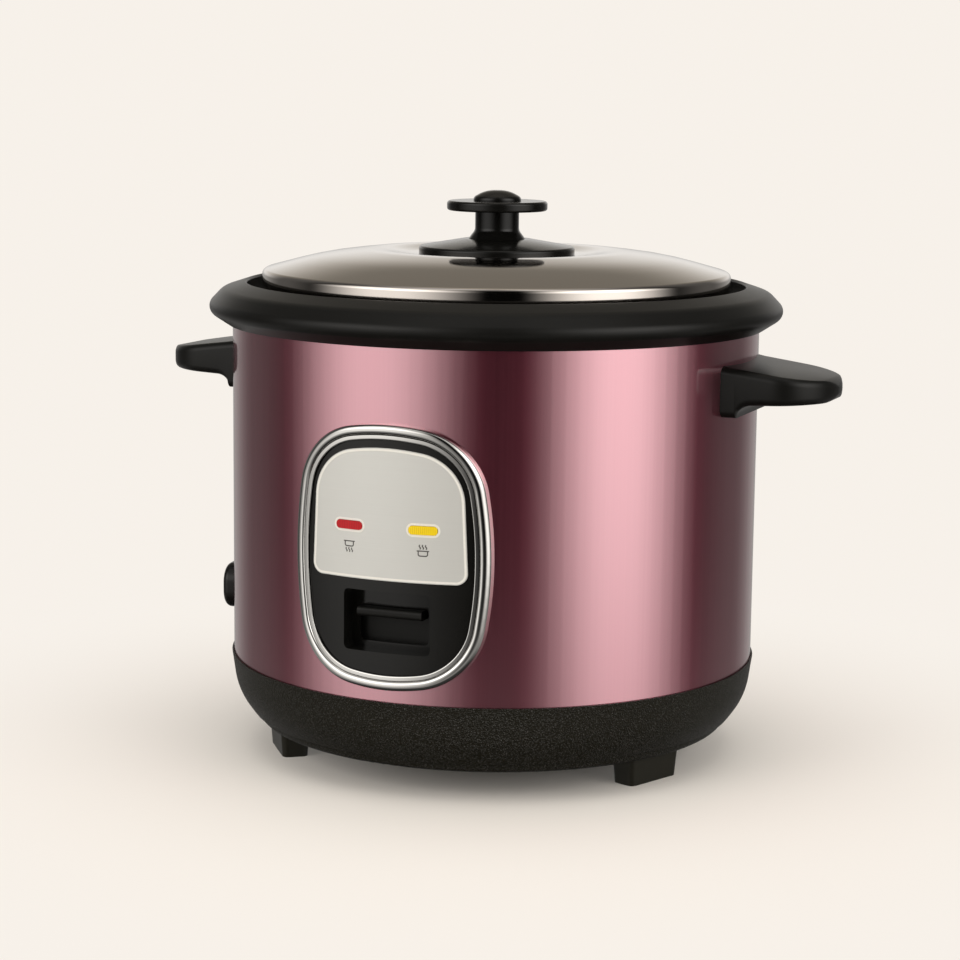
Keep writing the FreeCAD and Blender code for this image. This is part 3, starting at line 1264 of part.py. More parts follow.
def make_bracket():
    """Bracket under the liner that carries the lever's pin and the micro switch."""
    pivot = -s.pivot_reach
    front, rear = pivot - s.bracket_half_depth, pivot + s.bracket_half_depth
    plate_low = liner_bottom - s.bracket_wall
    low = pivot_height - s.bracket_ear_drop
    switch_front = pivot + s.switch_setback
    switch_rear = switch_front + s.switch_length
    switch_low = switch_top - s.switch_height
    hole = Round(pivot, pivot_height, s.pivot_radius + s.pivot_play)
    bracket = body("lever_bracket_body")
    pad(bracket, "bracket_plate", "XY_Plane",
        [box(-s.bracket_half_width, s.bracket_half_width, front, rear)], plate_low, s.bracket_wall)
    short_ear = box(front, rear, low, plate_low)
    long_ear = [(front, plate_low), (front, low), (switch_front, switch_low), (switch_rear, switch_low),
                (switch_rear, switch_top), (rear, low), (rear, plate_low)]
    pad(bracket, "bracket_short_ear", "YZ_Plane", [short_ear, hole], -bracket_outer, s.bracket_wall)
    pad(bracket, "bracket_long_ear", "YZ_Plane", [long_ear, hole], bracket_inner, s.bracket_wall)
    holes = [Round(x, y, s.rivet_radius + s.screw_play) for x, y in rivet_places()]
    pocket(bracket, "bracket_holes", holes, liner_bottom, s.bracket_wall)
    piece(bracket, "lever_bracket")
    pin_half = bracket_outer + s.pivot_stand
    pin = padded("lever_pivot_pin_body", "YZ_Plane", [Round(pivot, pivot_height, s.pivot_radius)],
                 -pin_half, pin_half * 2)
    piece(pin, "lever_pivot_pin")
    rivet = revolved("bracket_rivet", [
        (0.0, plate_low - s.rivet_head_height), (s.rivet_head_radius, plate_low - s.rivet_head_height),
        (s.rivet_head_radius, plate_low), (s.rivet_radius, plate_low), (s.rivet_radius, liner_floor),
        (s.rivet_head_radius, liner_floor), (s.rivet_head_radius, liner_floor + s.rivet_head_height),
        (0.0, liner_floor + s.rivet_head_height)])
    piece(group("bracket_rivet_set", copies_at("bracket_rivet_copy", rivet, rivet_places())),
          "bracket_rivets")


def make_switch():
    """Micro switch on the bracket's long ear, with its plunger and blades."""
    front = -s.pivot_reach + s.switch_setback
    rear = front + s.switch_length
    low = switch_top - s.switch_height
    right, left = bracket_inner, bracket_inner - s.switch_width
    middle = (right + left) / 2
    centre = (front + rear) / 2
    depth = s.plunger_depth + s.plunger_stroke
    switch = body("micro_switch_body")
    pad(switch, "switch_case", "XY_Plane",
        [[(*corner, s.switch_round) for corner in box(left, right, front, rear)]], low, s.switch_height)
    bore = [Round(middle, centre, s.plunger_radius + s.plunger_play)]
    pocket(switch, "switch_bore", bore, switch_top, depth)
    piece(switch, "micro_switch")
    plunger = padded("switch_plunger_body", "XY_Plane", [Round(middle, centre, s.plunger_radius)],
                     switch_top - s.plunger_depth, s.plunger_depth + s.plunger_stand)
    piece(plunger, "switch_plunger")
    blades = []
    for order in (-1, 0, 1):
        place = centre + s.blade_pitch * order
        outline = box(middle - s.blade_width / 2, middle + s.blade_width / 2,
                      place - s.blade_wall / 2, place + s.blade_wall / 2)
        blades.append(padded(f"switch_blade_{order + 1}", "XY_Plane", [outline],
                             low - s.blade_length, s.blade_length))
    piece(group("switch_blade_set", blades), "switch_terminals")


def make_thermostat():
    """Keep-warm thermostat and thermal fuse under the liner, and the fuse's clip."""
    neck = liner_bottom - s.thermostat_height
    foot = neck - s.thermostat_foot_height
    can = body("warm_thermostat_body")
    revolve(can, "thermostat_can", [
        (0.0, foot), (s.thermostat_foot_radius, foot), (s.thermostat_foot_radius, neck),
        (s.thermostat_radius, neck), (s.thermostat_radius, liner_bottom), (0.0, liner_bottom)])
    for side in (-1, 1):
        place = s.blade_pitch / 2 * side
        outline = box(place - s.blade_wall / 2, place + s.blade_wall / 2,
                      -s.blade_width / 2, s.blade_width / 2)
        pad(can, f"thermostat_blade_{'left' if side < 0 else 'right'}", "XY_Plane", [outline],
            foot - s.blade_length, s.blade_length)
    piece(move(can, s.thermostat_x, s.thermostat_y, 0.0), "warm_thermostat")
    axis_height = liner_bottom - s.fuse_play - s.fuse_radius
    half = s.fuse_length / 2
    fuse_rod = along_radius("thermal_fuse_body", [
        (-half, 0.0), (half, 0.0), (half, s.fuse_radius, s.fuse_radius / 2),
        (-half, s.fuse_radius, s.fuse_radius / 2)])
    piece(move(fuse_rod, -s.fuse_x, s.fuse_y, axis_height), "thermal_fuse")
    inner = s.fuse_radius + s.spring_play
    outer = inner + s.strap_wall
    tab = outer + s.strap_tab
    tab_low = liner_bottom - s.strap_wall
    low = axis_height - outer
    strap = padded("fuse_clip_body", "YZ_Plane", [[
        (s.fuse_y - tab, liner_bottom), (s.fuse_y - tab, tab_low), (s.fuse_y - outer, tab_low),
        (s.fuse_y - outer, low, s.strap_round + s.strap_wall),
        (s.fuse_y + outer, low, s.strap_round + s.strap_wall),
        (s.fuse_y + outer, tab_low), (s.fuse_y + tab, tab_low), (s.fuse_y + tab, liner_bottom),
        (s.fuse_y + inner, liner_bottom), (s.fuse_y + inner, axis_height - inner, s.strap_round),
        (s.fuse_y - inner, axis_height - inner, s.strap_round), (s.fuse_y - inner, liner_bottom)]],
        -s.fuse_x - s.strap_width / 2, s.strap_width)
    piece(strap, "fuse_clip")


def make_posts():
    """Tie posts that pull tray, shell, ring and liner together, with screws from below."""
    places = [polar(post_place, angle) for angle in POST_ANGLES]
    depth = s.post_screw_reach + s.screw_play
    post = revolved("tie_post", [
        (screw_hole, post_bottom), (s.post_radius, post_bottom), (s.post_radius, liner_bottom),
        (0.0, liner_bottom), (0.0, post_bottom + depth), (screw_hole, post_bottom + depth)])
    piece(group("tie_post_set", copies_at("tie_post_copy", post, places)), "tie_posts")
    seat = tray_floor + s.screw_play
    reach = post_bottom - seat + s.post_screw_reach
    screw = revolved("base_screw", [
        (across, seat + along, *rest) for across, along, *rest in upright(screw_section(reach))])
    piece(group("base_screw_set", copies_at("base_screw_copy", screw, places)), "base_screws")


def check_document():
    """Stop if any object failed, or if a piece isn't a sound solid."""
    for obj in doc.Objects:
        if "Invalid" in obj.State or "Error" in obj.State:
            raise RuntimeError(f"{obj.Label} failed: {obj.State}")
    for obj in pieces:
        shape = obj.Shape
        if shape.isNull() or not shape.isValid() or not shape.Solids:
            raise RuntimeError(f"{obj.Label} isn't a sound solid")


def export_pieces():
    """Write each piece under its own name."""
    os.makedirs("parts", exist_ok=True)
    for obj in pieces:
        obj.Shape.exportStep(f"parts/{obj.Label}.step")


for make in (make_base_tray, make_feet, make_shell, make_ring, make_liner, make_pot, make_lid, make_lid_knob,
             make_handles, make_bezel, make_fascia, make_lamps, make_inlet, make_heating_plate, make_sensor,
             make_magnet, make_lever, make_bracket, make_switch, make_thermostat, make_posts):
    make()
doc.recompute()
check_document()
export_pieces()
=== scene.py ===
import json
import math

import bmesh
import bpy
from bpy.props import FloatProperty, FloatVectorProperty, IntProperty, PointerProperty
from mathutils import Matrix, Vector


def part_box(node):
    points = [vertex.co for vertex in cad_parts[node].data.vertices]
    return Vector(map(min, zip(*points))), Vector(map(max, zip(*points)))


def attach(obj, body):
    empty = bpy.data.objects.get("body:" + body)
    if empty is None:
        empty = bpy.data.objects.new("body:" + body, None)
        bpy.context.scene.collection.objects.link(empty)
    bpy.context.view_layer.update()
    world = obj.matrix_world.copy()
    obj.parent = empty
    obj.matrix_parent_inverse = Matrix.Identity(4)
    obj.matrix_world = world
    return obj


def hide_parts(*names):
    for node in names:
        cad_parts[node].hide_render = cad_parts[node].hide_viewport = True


bl_info = {
    "name": "Rice Cooker",
    "version": (1, 0, 0),
    "blender": (4, 5, 0),
    "location": "3D View > Sidebar > Rice Cooker",
    "description": "Dresses the packed rice cooker with its finishes and sets its stage",
    "category": "Object",
}

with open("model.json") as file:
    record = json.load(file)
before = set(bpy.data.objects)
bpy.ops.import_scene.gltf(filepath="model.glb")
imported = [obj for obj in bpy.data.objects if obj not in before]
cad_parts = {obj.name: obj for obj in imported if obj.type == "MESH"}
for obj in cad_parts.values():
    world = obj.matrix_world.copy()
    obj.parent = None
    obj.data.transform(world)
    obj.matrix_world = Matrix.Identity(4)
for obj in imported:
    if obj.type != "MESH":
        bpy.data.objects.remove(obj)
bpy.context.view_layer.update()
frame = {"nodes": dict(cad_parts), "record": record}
MM = 0.001
SENSOR_WIDTH = 36.0

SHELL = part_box("outer_shell")
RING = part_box("top_ring")
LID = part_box("lid_shell")
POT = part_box("inner_pot")
KNOB_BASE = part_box("lid_knob_base")
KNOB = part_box("lid_knob")
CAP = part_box("lid_knob_cap")
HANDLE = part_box("handle_right")
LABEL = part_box("label_plate")
COOK_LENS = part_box("cook_lens")
WARM_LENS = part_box("warm_lens")
SHELL_RADIUS = SHELL[1].x

# Points closer than these are one, and edges bent by more than these stay sharp.
SAME_POINT = 1e-7
SAME_NODE_POINT = 2e-6
NO_LENGTH = 1e-6
SHARP_EDGE = math.radians(28.0)
SHARP_NODE_EDGE = math.radians(24.0)
SHARP_GRIP_EDGE = math.radians(40.0)

# Half sections of the turned pieces in millimetres: radius, height above the piece's foot, rounding.
POT_INSIDE = 105.3
POT_SECTION = [
    (0.0, 0.0), (106.5, 0.0, 18.0), (106.5, 115.7), (116.0, 115.7, 0.4), (116.0, 117.2, 0.4),
    (POT_INSIDE, 117.2, 1.2), (POT_INSIDE, 1.2, 16.8), (0.0, 1.2)]
RING_SECTION = [
    (112.3, 6.3), (112.3, 8.9), (118.2, 8.9), (118.2, 20.0, 1.2), (130.0, 16.1, 8.0),
    (138.39, 7.3, 4.5), (127.2, 0.0, 0.4), (125.2, 0.0), (125.2, 6.3)]
LID_SECTION = [
    (111.0, 0.0), (111.0, 13.3, 2.5), (85.0, 20.4, 150.0), (56.0, 23.8, 60.0), (40.0, 21.3, 40.0),
    (2.1, 21.3), (2.1, 20.5), (40.0, 20.5, 40.8), (56.0, 23.0, 59.2), (85.0, 19.6, 149.2),
    (110.2, 12.5, 1.7), (110.2, 0.0)]
KNOB_PLATE_SECTION = [(2.1, 0.0), (37.0, 0.0), (37.0, 3.4, 1.4), (16.5, 7.0), (2.1, 7.0)]
KNOB_STEM_SECTION = [
    (2.1, 0.0), (13.5, 0.0), (10.4, 4.1, 4.1), (10.4, 13.3), (23.8, 13.3, 1.3), (23.8, 17.9, 1.4),
    (9.0, 17.9), (9.0, 16.2), (0.0, 16.2), (0.0, 10.1), (2.1, 10.1)]
KNOB_DOME_SECTION = [
    (0.0, 0.0), (8.9, 0.0), (8.9, 1.7), (11.3, 1.7), (11.3, 3.4, 2.2), (5.5, 6.7, 16.0), (0.0, 6.7)]

# Sheet walls of the label and of the shell.
SHEET_WALLS = (0.4 * MM, 0.8 * MM)
STEAM_HOLE_STEPS = 48

# Grip of a handle: where its root, flange and tip lie from the axis.
GRIP_ROOT = SHELL_RADIUS - 4.6 * MM
GRIP_FLANGE = SHELL_RADIUS + 4.6 * MM
GRIP_TIP = HANDLE[1].x
# Cove under the grip: its start inside the flange's face, its length and its steps.
COVE_START = 1.6 * MM
COVE_LENGTH = 7.0 * MM
COVE_STEPS = 14
# Sections before the cove and after it, measured from the flange's face, and those at the very tip.
BEFORE_COVE = 2.0 * MM
AFTER_COVE = 6.0 * MM
GRIP_STEPS = 4
TIP_STEPS = 18
TIP_ENDS = (0.12 * MM, 0.02 * MM)
# The rounded edges take no more than these shares of the half width and of the height.
EDGE_OF_HALF = 0.9
EDGE_OF_HEIGHT = 0.48

# Bezel: rounding of its lip, and the longest run along its outline and those of the print.
BEZEL_LIP_ROUND = 0.0006
OUTLINE_RUN = 0.001

# Lenses: share of the half height that rounds the ends, and bare label between a lens and its rim.
LENS_ROUND = 0.98
LENS_GAP = 0.00015
# Sign below a lens: how far down, how far its pot is shifted, and the drawing of pot, rim and waves.
SIGN_DROP = 5.4 * MM
SIGN_SHIFT = 0.9 * MM
SIGN_POT_HALF = 2.1 * MM
SIGN_POT_HIGH = 0.9 * MM
SIGN_POT_LOW = -1.3 * MM
SIGN_POT_ROUND = 0.8 * MM
SIGN_RIM_HALF = 2.8 * MM
HEAT_START = -3.9 * MM
STEAM_START = 1.7 * MM
WAVE_PITCH = 1.4 * MM
WAVE_SWAY = 0.3 * MM
WAVE_HEIGHT = 1.9 * MM
WAVE_STEPS = 12


def length(name, description, default):
    return FloatProperty(name=name, description=description, default=default, unit="LENGTH", precision=4)


def colour(name, description, default):
    return FloatVectorProperty(name=name, description=description, default=default, subtype="COLOR",
                               size=3, min=0.0, max=1.0)


def slant(name, description, default):
    return FloatProperty(name=name, description=description, default=default, subtype="ANGLE")


def angle(name, description, degrees):
    return slant(name, description, math.radians(degrees))


def amount(name, description, default):
    return FloatProperty(name=name, description=description, default=default, min=0.0)


def power(name, description, default):
    return FloatProperty(name=name, description=description, default=default, min=0.0, unit="POWER")


def span(name, description, default, unit="NONE"):
    return FloatVectorProperty(name=name, description=description, default=default, size=2, unit=unit)


class CookerColours(bpy.types.PropertyGroup):
    """Colours of the finishes, the backdrop and the light"""
    paint: colour("Shell paint", "Metallic paint of the shell", (0.47, 0.118, 0.172))
    paint_dark: colour("Shell paint streaks", "Darker streaks of the brushed paint", (0.40, 0.094, 0.138))
    black: colour("Black plastic", "Moulded parts", (0.004, 0.0039, 0.0034))
    grain: colour("Grained plastic", "Base tray and feet", (0.011, 0.01, 0.0062))
    lid: colour("Lid steel", "Polished steel of the lid", (0.56, 0.515, 0.475))
    chrome: colour("Chrome", "Plated bezel", (0.55, 0.54, 0.52))
    steel: colour("Sheet steel", "Liner, brackets and screws", (0.56, 0.56, 0.55))
    aluminium: colour("Aluminium", "Pot, heating plate and sensor cap", (0.66, 0.66, 0.67))
    label: colour("Label", "Printed silver of the label", (0.59, 0.595, 0.575))
    white_ink: colour("White ink", "Border of the label and of the lenses", (0.82, 0.81, 0.77))
    dark_ink: colour("Dark ink", "Signs on the label", (0.07, 0.065, 0.06))
    cook_lens: colour("Cook lens", "Indicator on the left", (0.42, 0.004, 0.008))
    warm_lens: colour("Keep-warm lens", "Indicator on the right", (0.80, 0.57, 0.008))
    ceramic: colour("Ceramic", "Bushes, thermostat and fuse", (0.80, 0.77, 0.70))
    ferrite: colour("Ferrite", "Magnet and ferrite", (0.05, 0.05, 0.055))
    brass: colour("Brass", "Pins and blades", (0.72, 0.50, 0.18))
    switch_case: colour("Switch case", "Micro switch", (0.07, 0.035, 0.02))
    lamp_glass: colour("Lamp glass", "Tint of the indicator lamps", (1.0, 0.9, 0.8))
    backdrop: colour("Backdrop", "Floor and background", (0.93, 0.88, 0.82))
    softbox: colour("Softboxes", "Lamps, and light panels in reflections", (1.0, 0.975, 0.94))
    upper_wall: colour("Upper wall", "Warm back wall in reflections", (1.0, 0.92, 0.79))
    ambient: colour("Ambient light", "Light from all round", (1.0, 0.955, 0.88))


class CookerSizes(bpy.types.PropertyGroup):
    """Sizes of the panel, its print, the steam hole, the handles and the level marks"""
    segments: IntProperty(name="Segments", description="Steps round a turned piece", default=256, min=32)
    bezel_band: length("Bezel band", "Width of the rounded outer band", 0.0048)
    bezel_height: length("Bezel height", "Outer band above the shell", 0.0046)
    bezel_round: length("Bezel rounding", "Rounded edges of the outer band", 0.0021)
    bezel_lip: length("Bezel lip", "Width of the inner lip", 0.002)
    bezel_lip_height: length("Bezel lip height", "Inner lip above the shell", 0.0036)
    bezel_rebate: length("Bezel rebate", "Rebate behind the bezel", 0.0032)
    bezel_rebate_height: length("Bezel rebate height", "Depth of the rebate", 0.0012)
    panel_half: length("Panel half width", "Before its sides are rounded", 0.049)
    panel_low: length("Panel bottom", "Before it is rounded", 0.051)
    panel_high: length("Panel top", "Before it is rounded", 0.1714)
    panel_arch: amount("Panel arch", "Slope of top and bottom", 0.1457)
    panel_side: amount("Panel side", "Slope of the sides", 0.155)
    panel_crown_round: length("Panel crown", "Rounded middle of the arches", 0.105)
    panel_corner_round: length("Panel corner", "Rounded corners", 0.03299)
    panel_side_round: length("Panel sides", "Rounded middle of the sides", 0.18999)
    label_inset: length("Label inset", "Label inside the bezel's edge", 0.0104)
    label_height: length("Label height", "Before its top is rounded", 0.0596)
    label_corner: length("Label corner", "Lower corners of the label", 0.005)
    label_side_inset: length("Label side inset", "Lower corners inside the panel's half width", 0.0118)
    label_side: amount("Label side", "Slope of the label's sides", 0.045)
    border_inset: length("Border inset", "White border inside the label's edge", 0.0004)
    border_width: length("Border width", "White border of the label", 0.0009)
    ink_height: length("Ink height", "Printed ink above the label", 0.00005)
    stroke: length("Stroke", "Line width of the signs", 0.00052)
    lens_half_width: length("Lens half width", "Indicator lens", 0.0065)
    lens_half_height: length("Lens half height", "Indicator lens", 0.0019)
    lens_rim: length("Lens rim", "White rim round a lens", 0.001)
    steam_hole_place: length("Steam hole place", "From the axis", 0.07)
    steam_hole_radius: length("Steam hole radius", "Through the lid", 0.0025)
    handle_half: length("Handle half width", "Before it narrows towards the tip", 0.033)
    handle_taper: length("Handle taper", "Half width lost on the way from the axis to the tip", 0.003)
    handle_thickness: length("Handle thickness", "From the flange's top to the grip's underside", 0.0176)
    handle_fall: length("Handle fall", "Fall of the top towards the tip", 0.0064)
    handle_rise: length("Handle rise", "Rise of the underside towards the tip", 0.0016)
    handle_edge: length("Handle edge", "Rounded edges of the handles", 0.0034)
    handle_tip: length("Handle tip", "Rounded tip seen from above", 0.024)
    handle_nose: length("Handle nose", "Rounded tip seen from the side", 0.0042)
    level_marks: IntProperty(name="Level marks", description="Marks inside the pot", default=8, min=1)
    level_pitch: length("Level pitch", "Distance between the marks", 0.0095)
    level_start: length("Level start", "Lowest mark above the pot's foot", 0.03)
    level_wide: length("Level mark width", "Along the pot's wall", 0.012)
    level_thick: length("Level mark thickness", "Through the pot's wall", 0.0006)
    level_tall: length("Level mark height", "Upright", 0.0009)
    level_sink: length("Level mark place", "Its middle inside the pot's wall", 0.0002)


class CookerStage(bpy.types.PropertyGroup):
    """Camera, lamps, floor, and the room in reflections, whose heights run from -1 below to 1 above"""
    camera_turn: angle("Camera turn", "Camera to the right of the panel", 21.7)
    camera_reach: length("Camera distance", "Level distance from the axis", 1.1953)
    camera_height: length("Camera height", "Above the table", 0.3197)
    camera_yaw: slant("Camera yaw", "Aim beside the axis", -0.0057)
    camera_pitch: slant("Camera pitch", "Aim below level", 0.1596)
    camera_roll: slant("Camera roll", "Tilt of the frame", 0.0106)
    camera_lens: FloatProperty(name="Lens", description="Focal length", default=94.18, unit="CAMERA")
    left_turn: angle("Left panel", "Middle of the left light panel, from the camera's side", -53.7)
    left_half: angle("Left panel half width", "Seen from the object", 27.0)
    left_soft: angle("Left panel softness", "Fading edges", 22.5)
    left_glow: amount("Left panel glow", "Brightness in reflections", 1.5)
    left_power: power("Left power", "Of the left softbox", 9.0)
    left_wide: length("Left softbox", "Width of the left softbox", 0.75)
    right_turn: angle("Right panel", "Middle of the right light panel, from the camera's side", 55.3)
    right_half: angle("Right panel half width", "Seen from the object", 24.2)
    right_soft: angle("Right panel softness", "Fading edges", 20.0)
    right_glow: amount("Right panel glow", "Brightness in reflections", 1.95)
    right_power: power("Right power", "Of the right softbox", 9.0)
    right_wide: length("Right softbox", "Width of the right softbox", 1.05)
    side_tall: length("Side softboxes", "Height of the left and right softboxes", 1.3)
    side_reach: length("Side distance", "Left and right softboxes from the axis", 1.5)
    side_height: length("Side height", "Left and right softboxes above the table", 0.55)
    top_power: power("Top power", "Of the softbox above", 13.5)
    top_wide: length("Top softbox", "Sides of the square softbox above", 1.6)
    top_reach: length("Top distance", "Top softbox from the axis", 0.25)
    top_height: length("Top height", "Top softbox above the table", 1.7)
    aim_height: length("Aim height", "Where the softboxes point, on the axis", 0.13)
    ambient: amount("Ambient", "Light from all round", 0.44)
    dark: amount("Dark side", "Brightness between the panels in reflections", 0.002)
    side_span: span("Side wall", "Turns from the camera's side where it begins", (1.5, 2.2), "ROTATION")
    side_glow: amount("Side wall glow", "Brightness in reflections", 0.13)
    back_span: span("Back wall", "Turns from the camera's side where it begins", (2.25, 2.8), "ROTATION")
    back_foot: amount("Back wall foot", "Brightness of its foot", 0.4)
    back_rise: amount("Back wall rise", "Brightness added above its foot", 0.58)
    back_fade: amount("Back wall fade", "Share that its upper part loses", 0.73)
    foot_span: span("Back wall foot heights", "Heights over which its foot ends", (-0.1, 0.12))
    upper_span: span("Back wall upper heights", "Heights over which it darkens and warms", (0.08, 0.47))
    panel_fade: amount("Panel fade", "Share that the panels lose at foot and head", 0.8)
    panel_foot: span("Panel foot", "Heights over which the panels fade downwards", (-0.1, -0.5))
    panel_middle: span("Panel middle", "Heights over which the panels grow twice as bright", (0.0, 0.3))
    panel_head: span("Panel head", "Heights over which the panels fade upwards", (0.45, 0.9))
    table_span: span("Table", "Heights over which the table begins in reflections", (-0.16, -0.5))
    table_glow: amount("Table glow", "Brightness in reflections", 0.4)
    shade_span: span("Table shade heights", "Heights over which the table darkens", (-0.45, -0.8))
    table_shade: amount("Table shade", "Brightness that the table loses", 0.35)
    ceiling_span: span("Ceiling", "Heights over which the ceiling begins in reflections", (0.75, 0.97))
    ceiling_glow: amount("Ceiling glow", "Brightness in reflections", 0.35)
    brightest: amount("Brightest", "Limit of brightness in reflections", 4.0)
    floor_half: length("Floor half width", "From the axis to the floor's edge", 6.0)
    paper_shift: length("Paper shift", "Middle of the plain paper before the axis", 0.03)
    paper_span: span("Paper", "Distances where the paper melts into the background", (0.0, 0.38), "LENGTH")


def settings():
    """The cooker's settings in the open scene."""
    return bpy.context.scene.rice_cooker


class CookerSettings(bpy.types.PropertyGroup):
    """Everything that the sidebar lists"""
    colours: PointerProperty(type=CookerColours)
    sizes: PointerProperty(type=CookerSizes)
    stage: PointerProperty(type=CookerStage)


class Value:
    """A number in a shader: sums of these add Math nodes."""

    def __init__(self, shader, socket):
        self.shader, self.socket = shader, socket

    def maths(self, operation, first, second):
        return self.shader.add("ShaderNodeMath", {"operation": operation}, {0: first, 1: second})

    def __add__(self, other):
        return self.maths("ADD", self, other)

    def __radd__(self, other):
        return self.maths("ADD", other, self)

    def __sub__(self, other):
        return self.maths("SUBTRACT", self, other)

    def __rsub__(self, other):
        return self.maths("SUBTRACT", other, self)

    def __mul__(self, other):
        return self.maths("MULTIPLY", self, other)

    def __rmul__(self, other):
        return self.maths("MULTIPLY", other, self)

    def __truediv__(self, other):
        return self.maths("DIVIDE", self, other)

    def __rtruediv__(self, other):
        return self.maths("DIVIDE", other, self)

    def __pow__(self, other):
        return self.maths("POWER", self, other)

    def __rpow__(self, other):
        return self.maths("POWER", other, self)

    def clamped(self):
        return self.maths("MINIMUM", self.maths("MAXIMUM", self, 0.0), 1.0)


class Shader:
    """One node tree, built by naming node types, their settings and their inputs."""

    def __init__(self, tree):
        self.tree = tree
        tree.nodes.clear()

    def add(self, kind, choices, inputs, output=0):
        """A node of a type with its settings and its values or links, as the value of one output."""
        node = self.tree.nodes.new(kind)
        for name, choice in choices.items():
            setattr(node, name, choice)
        for name, value in inputs.items():
            if isinstance(value, Value):
                self.tree.links.new(value.socket, node.inputs[name])
            else:
                node.inputs[name].default_value = value
        return Value(self, node.outputs[output]) if node.outputs else None

    def place(self, scale=(1.0, 1.0, 1.0)):
        spot = self.add("ShaderNodeTexCoord", {}, {}, "Object")
        return self.add("ShaderNodeMapping", {}, {"Vector": spot, "Scale": scale})

    def noise(self, scale, detail=2.0, stretch=(1.0, 1.0, 1.0)):
        inputs = {"Vector": self.place(stretch), "Scale": scale, "Detail": detail}
        return self.add("ShaderNodeTexNoise", {}, inputs, "Fac")

    def cells(self, scale):
        return self.add("ShaderNodeTexVoronoi", {}, {"Vector": self.place(), "Scale": scale}, "Distance")

    def mix(self, share, first, second):
        return self.add("ShaderNodeMix", {"data_type": "RGBA"}, {0: share, 6: first, 7: second}, 2)

    def bump(self, height, strength, depth):
        return self.add("ShaderNodeBump", {}, {"Height": height, "Strength": strength, "Distance": depth})

    def axes(self):
        spot = self.add("ShaderNodeTexCoord", {}, {}, "Object")
        return [self.add("ShaderNodeSeparateXYZ", {}, {0: spot}, i) for i in range(3)]

    def rings(self, scale):
        """Noise that changes only with the distance from the axis."""
        x, y, _ = self.axes()
        inputs = {"W": (x * x + y * y) ** 0.5, "Scale": scale}
        return self.add("ShaderNodeTexNoise", {"noise_dimensions": "1D"}, inputs, "Fac")

    def between(self, value, ends):
        """A smooth rise from 0 at one value to 1 at another."""
        inputs = {"Value": value, "From Min": ends[0], "From Max": ends[1]}
        return self.add("ShaderNodeMapRange", {"interpolation_type": "SMOOTHSTEP"}, inputs)

    def ray(self, kind):
        return self.add("ShaderNodeLightPath", {}, {}, f"Is {kind} Ray")

    def background(self, tone, strength):
        return self.add("ShaderNodeBackground", {}, {"Color": rgba(tone), "Strength": strength})

    def blend(self, share, first, second):
        return self.add("ShaderNodeMixShader", {}, {0: share, 1: first, 2: second})

    def surface(self, inputs):
        shader = self.add("ShaderNodeBsdfPrincipled", {}, inputs)
        self.add("ShaderNodeOutputMaterial", {}, {"Surface": shader})


def rgba(rgb):
    return (*rgb, 1.0)


def toned(rgb, gain, lift=0.0):
    """A darker or lighter tone of a colour."""
    return rgba([channel * gain + lift for channel in rgb])


def new_material(name):
    material = bpy.data.materials.new(name)
    material.use_nodes = True
    return material, Shader(material.node_tree)


def brushed_paint(name, light, dark):
    """Satin metallic lacquer over steel that was brushed upright."""
    material, shader = new_material(name)
    streaks = shader.noise(scale=1.0, detail=3.0, stretch=(900.0, 900.0, 5.0))
    flakes = shader.noise(scale=5200.0, detail=1.0)
    tone = (streaks * 0.6 + flakes * 0.3).clamped()
    shader.surface({
        "Base Color": shader.mix(tone, rgba(dark), rgba(light)),
        "Metallic": 0.96, "Roughness": 0.265 + streaks * 0.07,
        "Normal": shader.bump(streaks, strength=0.05, depth=0.0002),
        "Coat Weight": 1.0, "Coat Roughness": 0.065, "Coat IOR": 2.6})
    return material


def polished_steel(name, tone, roughness):
    """Steel polished on a wheel: faint rings about the axis and a few wipe marks."""
    material, shader = new_material(name)
    rings = shader.rings(scale=2600.0)
    wipes = shader.noise(scale=18.0, detail=3.0)
    shader.surface({
        "Base Color": shader.mix(rings, toned(tone, gain=0.93), rgba(tone)),
        "Metallic": 1.0, "Roughness": roughness + rings * 0.03 + wipes * 0.035,
        "Normal": shader.bump(rings, strength=0.012, depth=0.0002)})
    return material


def plated(name, tone):
    """Bright plating with a trace of unevenness."""
    material, shader = new_material(name)
    haze = shader.noise(scale=60.0)
    shader.surface({"Base Color": rgba(tone), "Metallic": 1.0, "Roughness": 0.09 + haze * 0.05})
    return material


def rolled_steel(name, tone):
    """Plain sheet or wire, with drawing marks and dull patches."""
    material, shader = new_material(name)
    marks = shader.noise(scale=1.0, detail=3.0, stretch=(260.0, 260.0, 1600.0))
    patches = shader.noise(scale=45.0, detail=3.0)
    shader.surface({
        "Base Color": shader.mix(patches, toned(tone, gain=0.8), rgba(tone)),
        "Metallic": 1.0, "Roughness": 0.26 + marks * 0.12 + patches * 0.08,
        "Normal": shader.bump(marks, strength=0.05, depth=0.0002)})
    return material


def turned_aluminium(name, tone, scale):
    """Aluminium with the fine rings of a lathe."""
    material, shader = new_material(name)
    rings = shader.rings(scale)
    stains = shader.noise(scale=30.0, detail=4.0)
    shader.surface({
        "Base Color": shader.mix(stains, toned(tone, gain=0.78), rgba(tone)),
        "Metallic": 1.0, "Roughness": 0.3 + rings * 0.14,
        "Normal": shader.bump(rings, strength=0.1, depth=0.0003)})
    return material


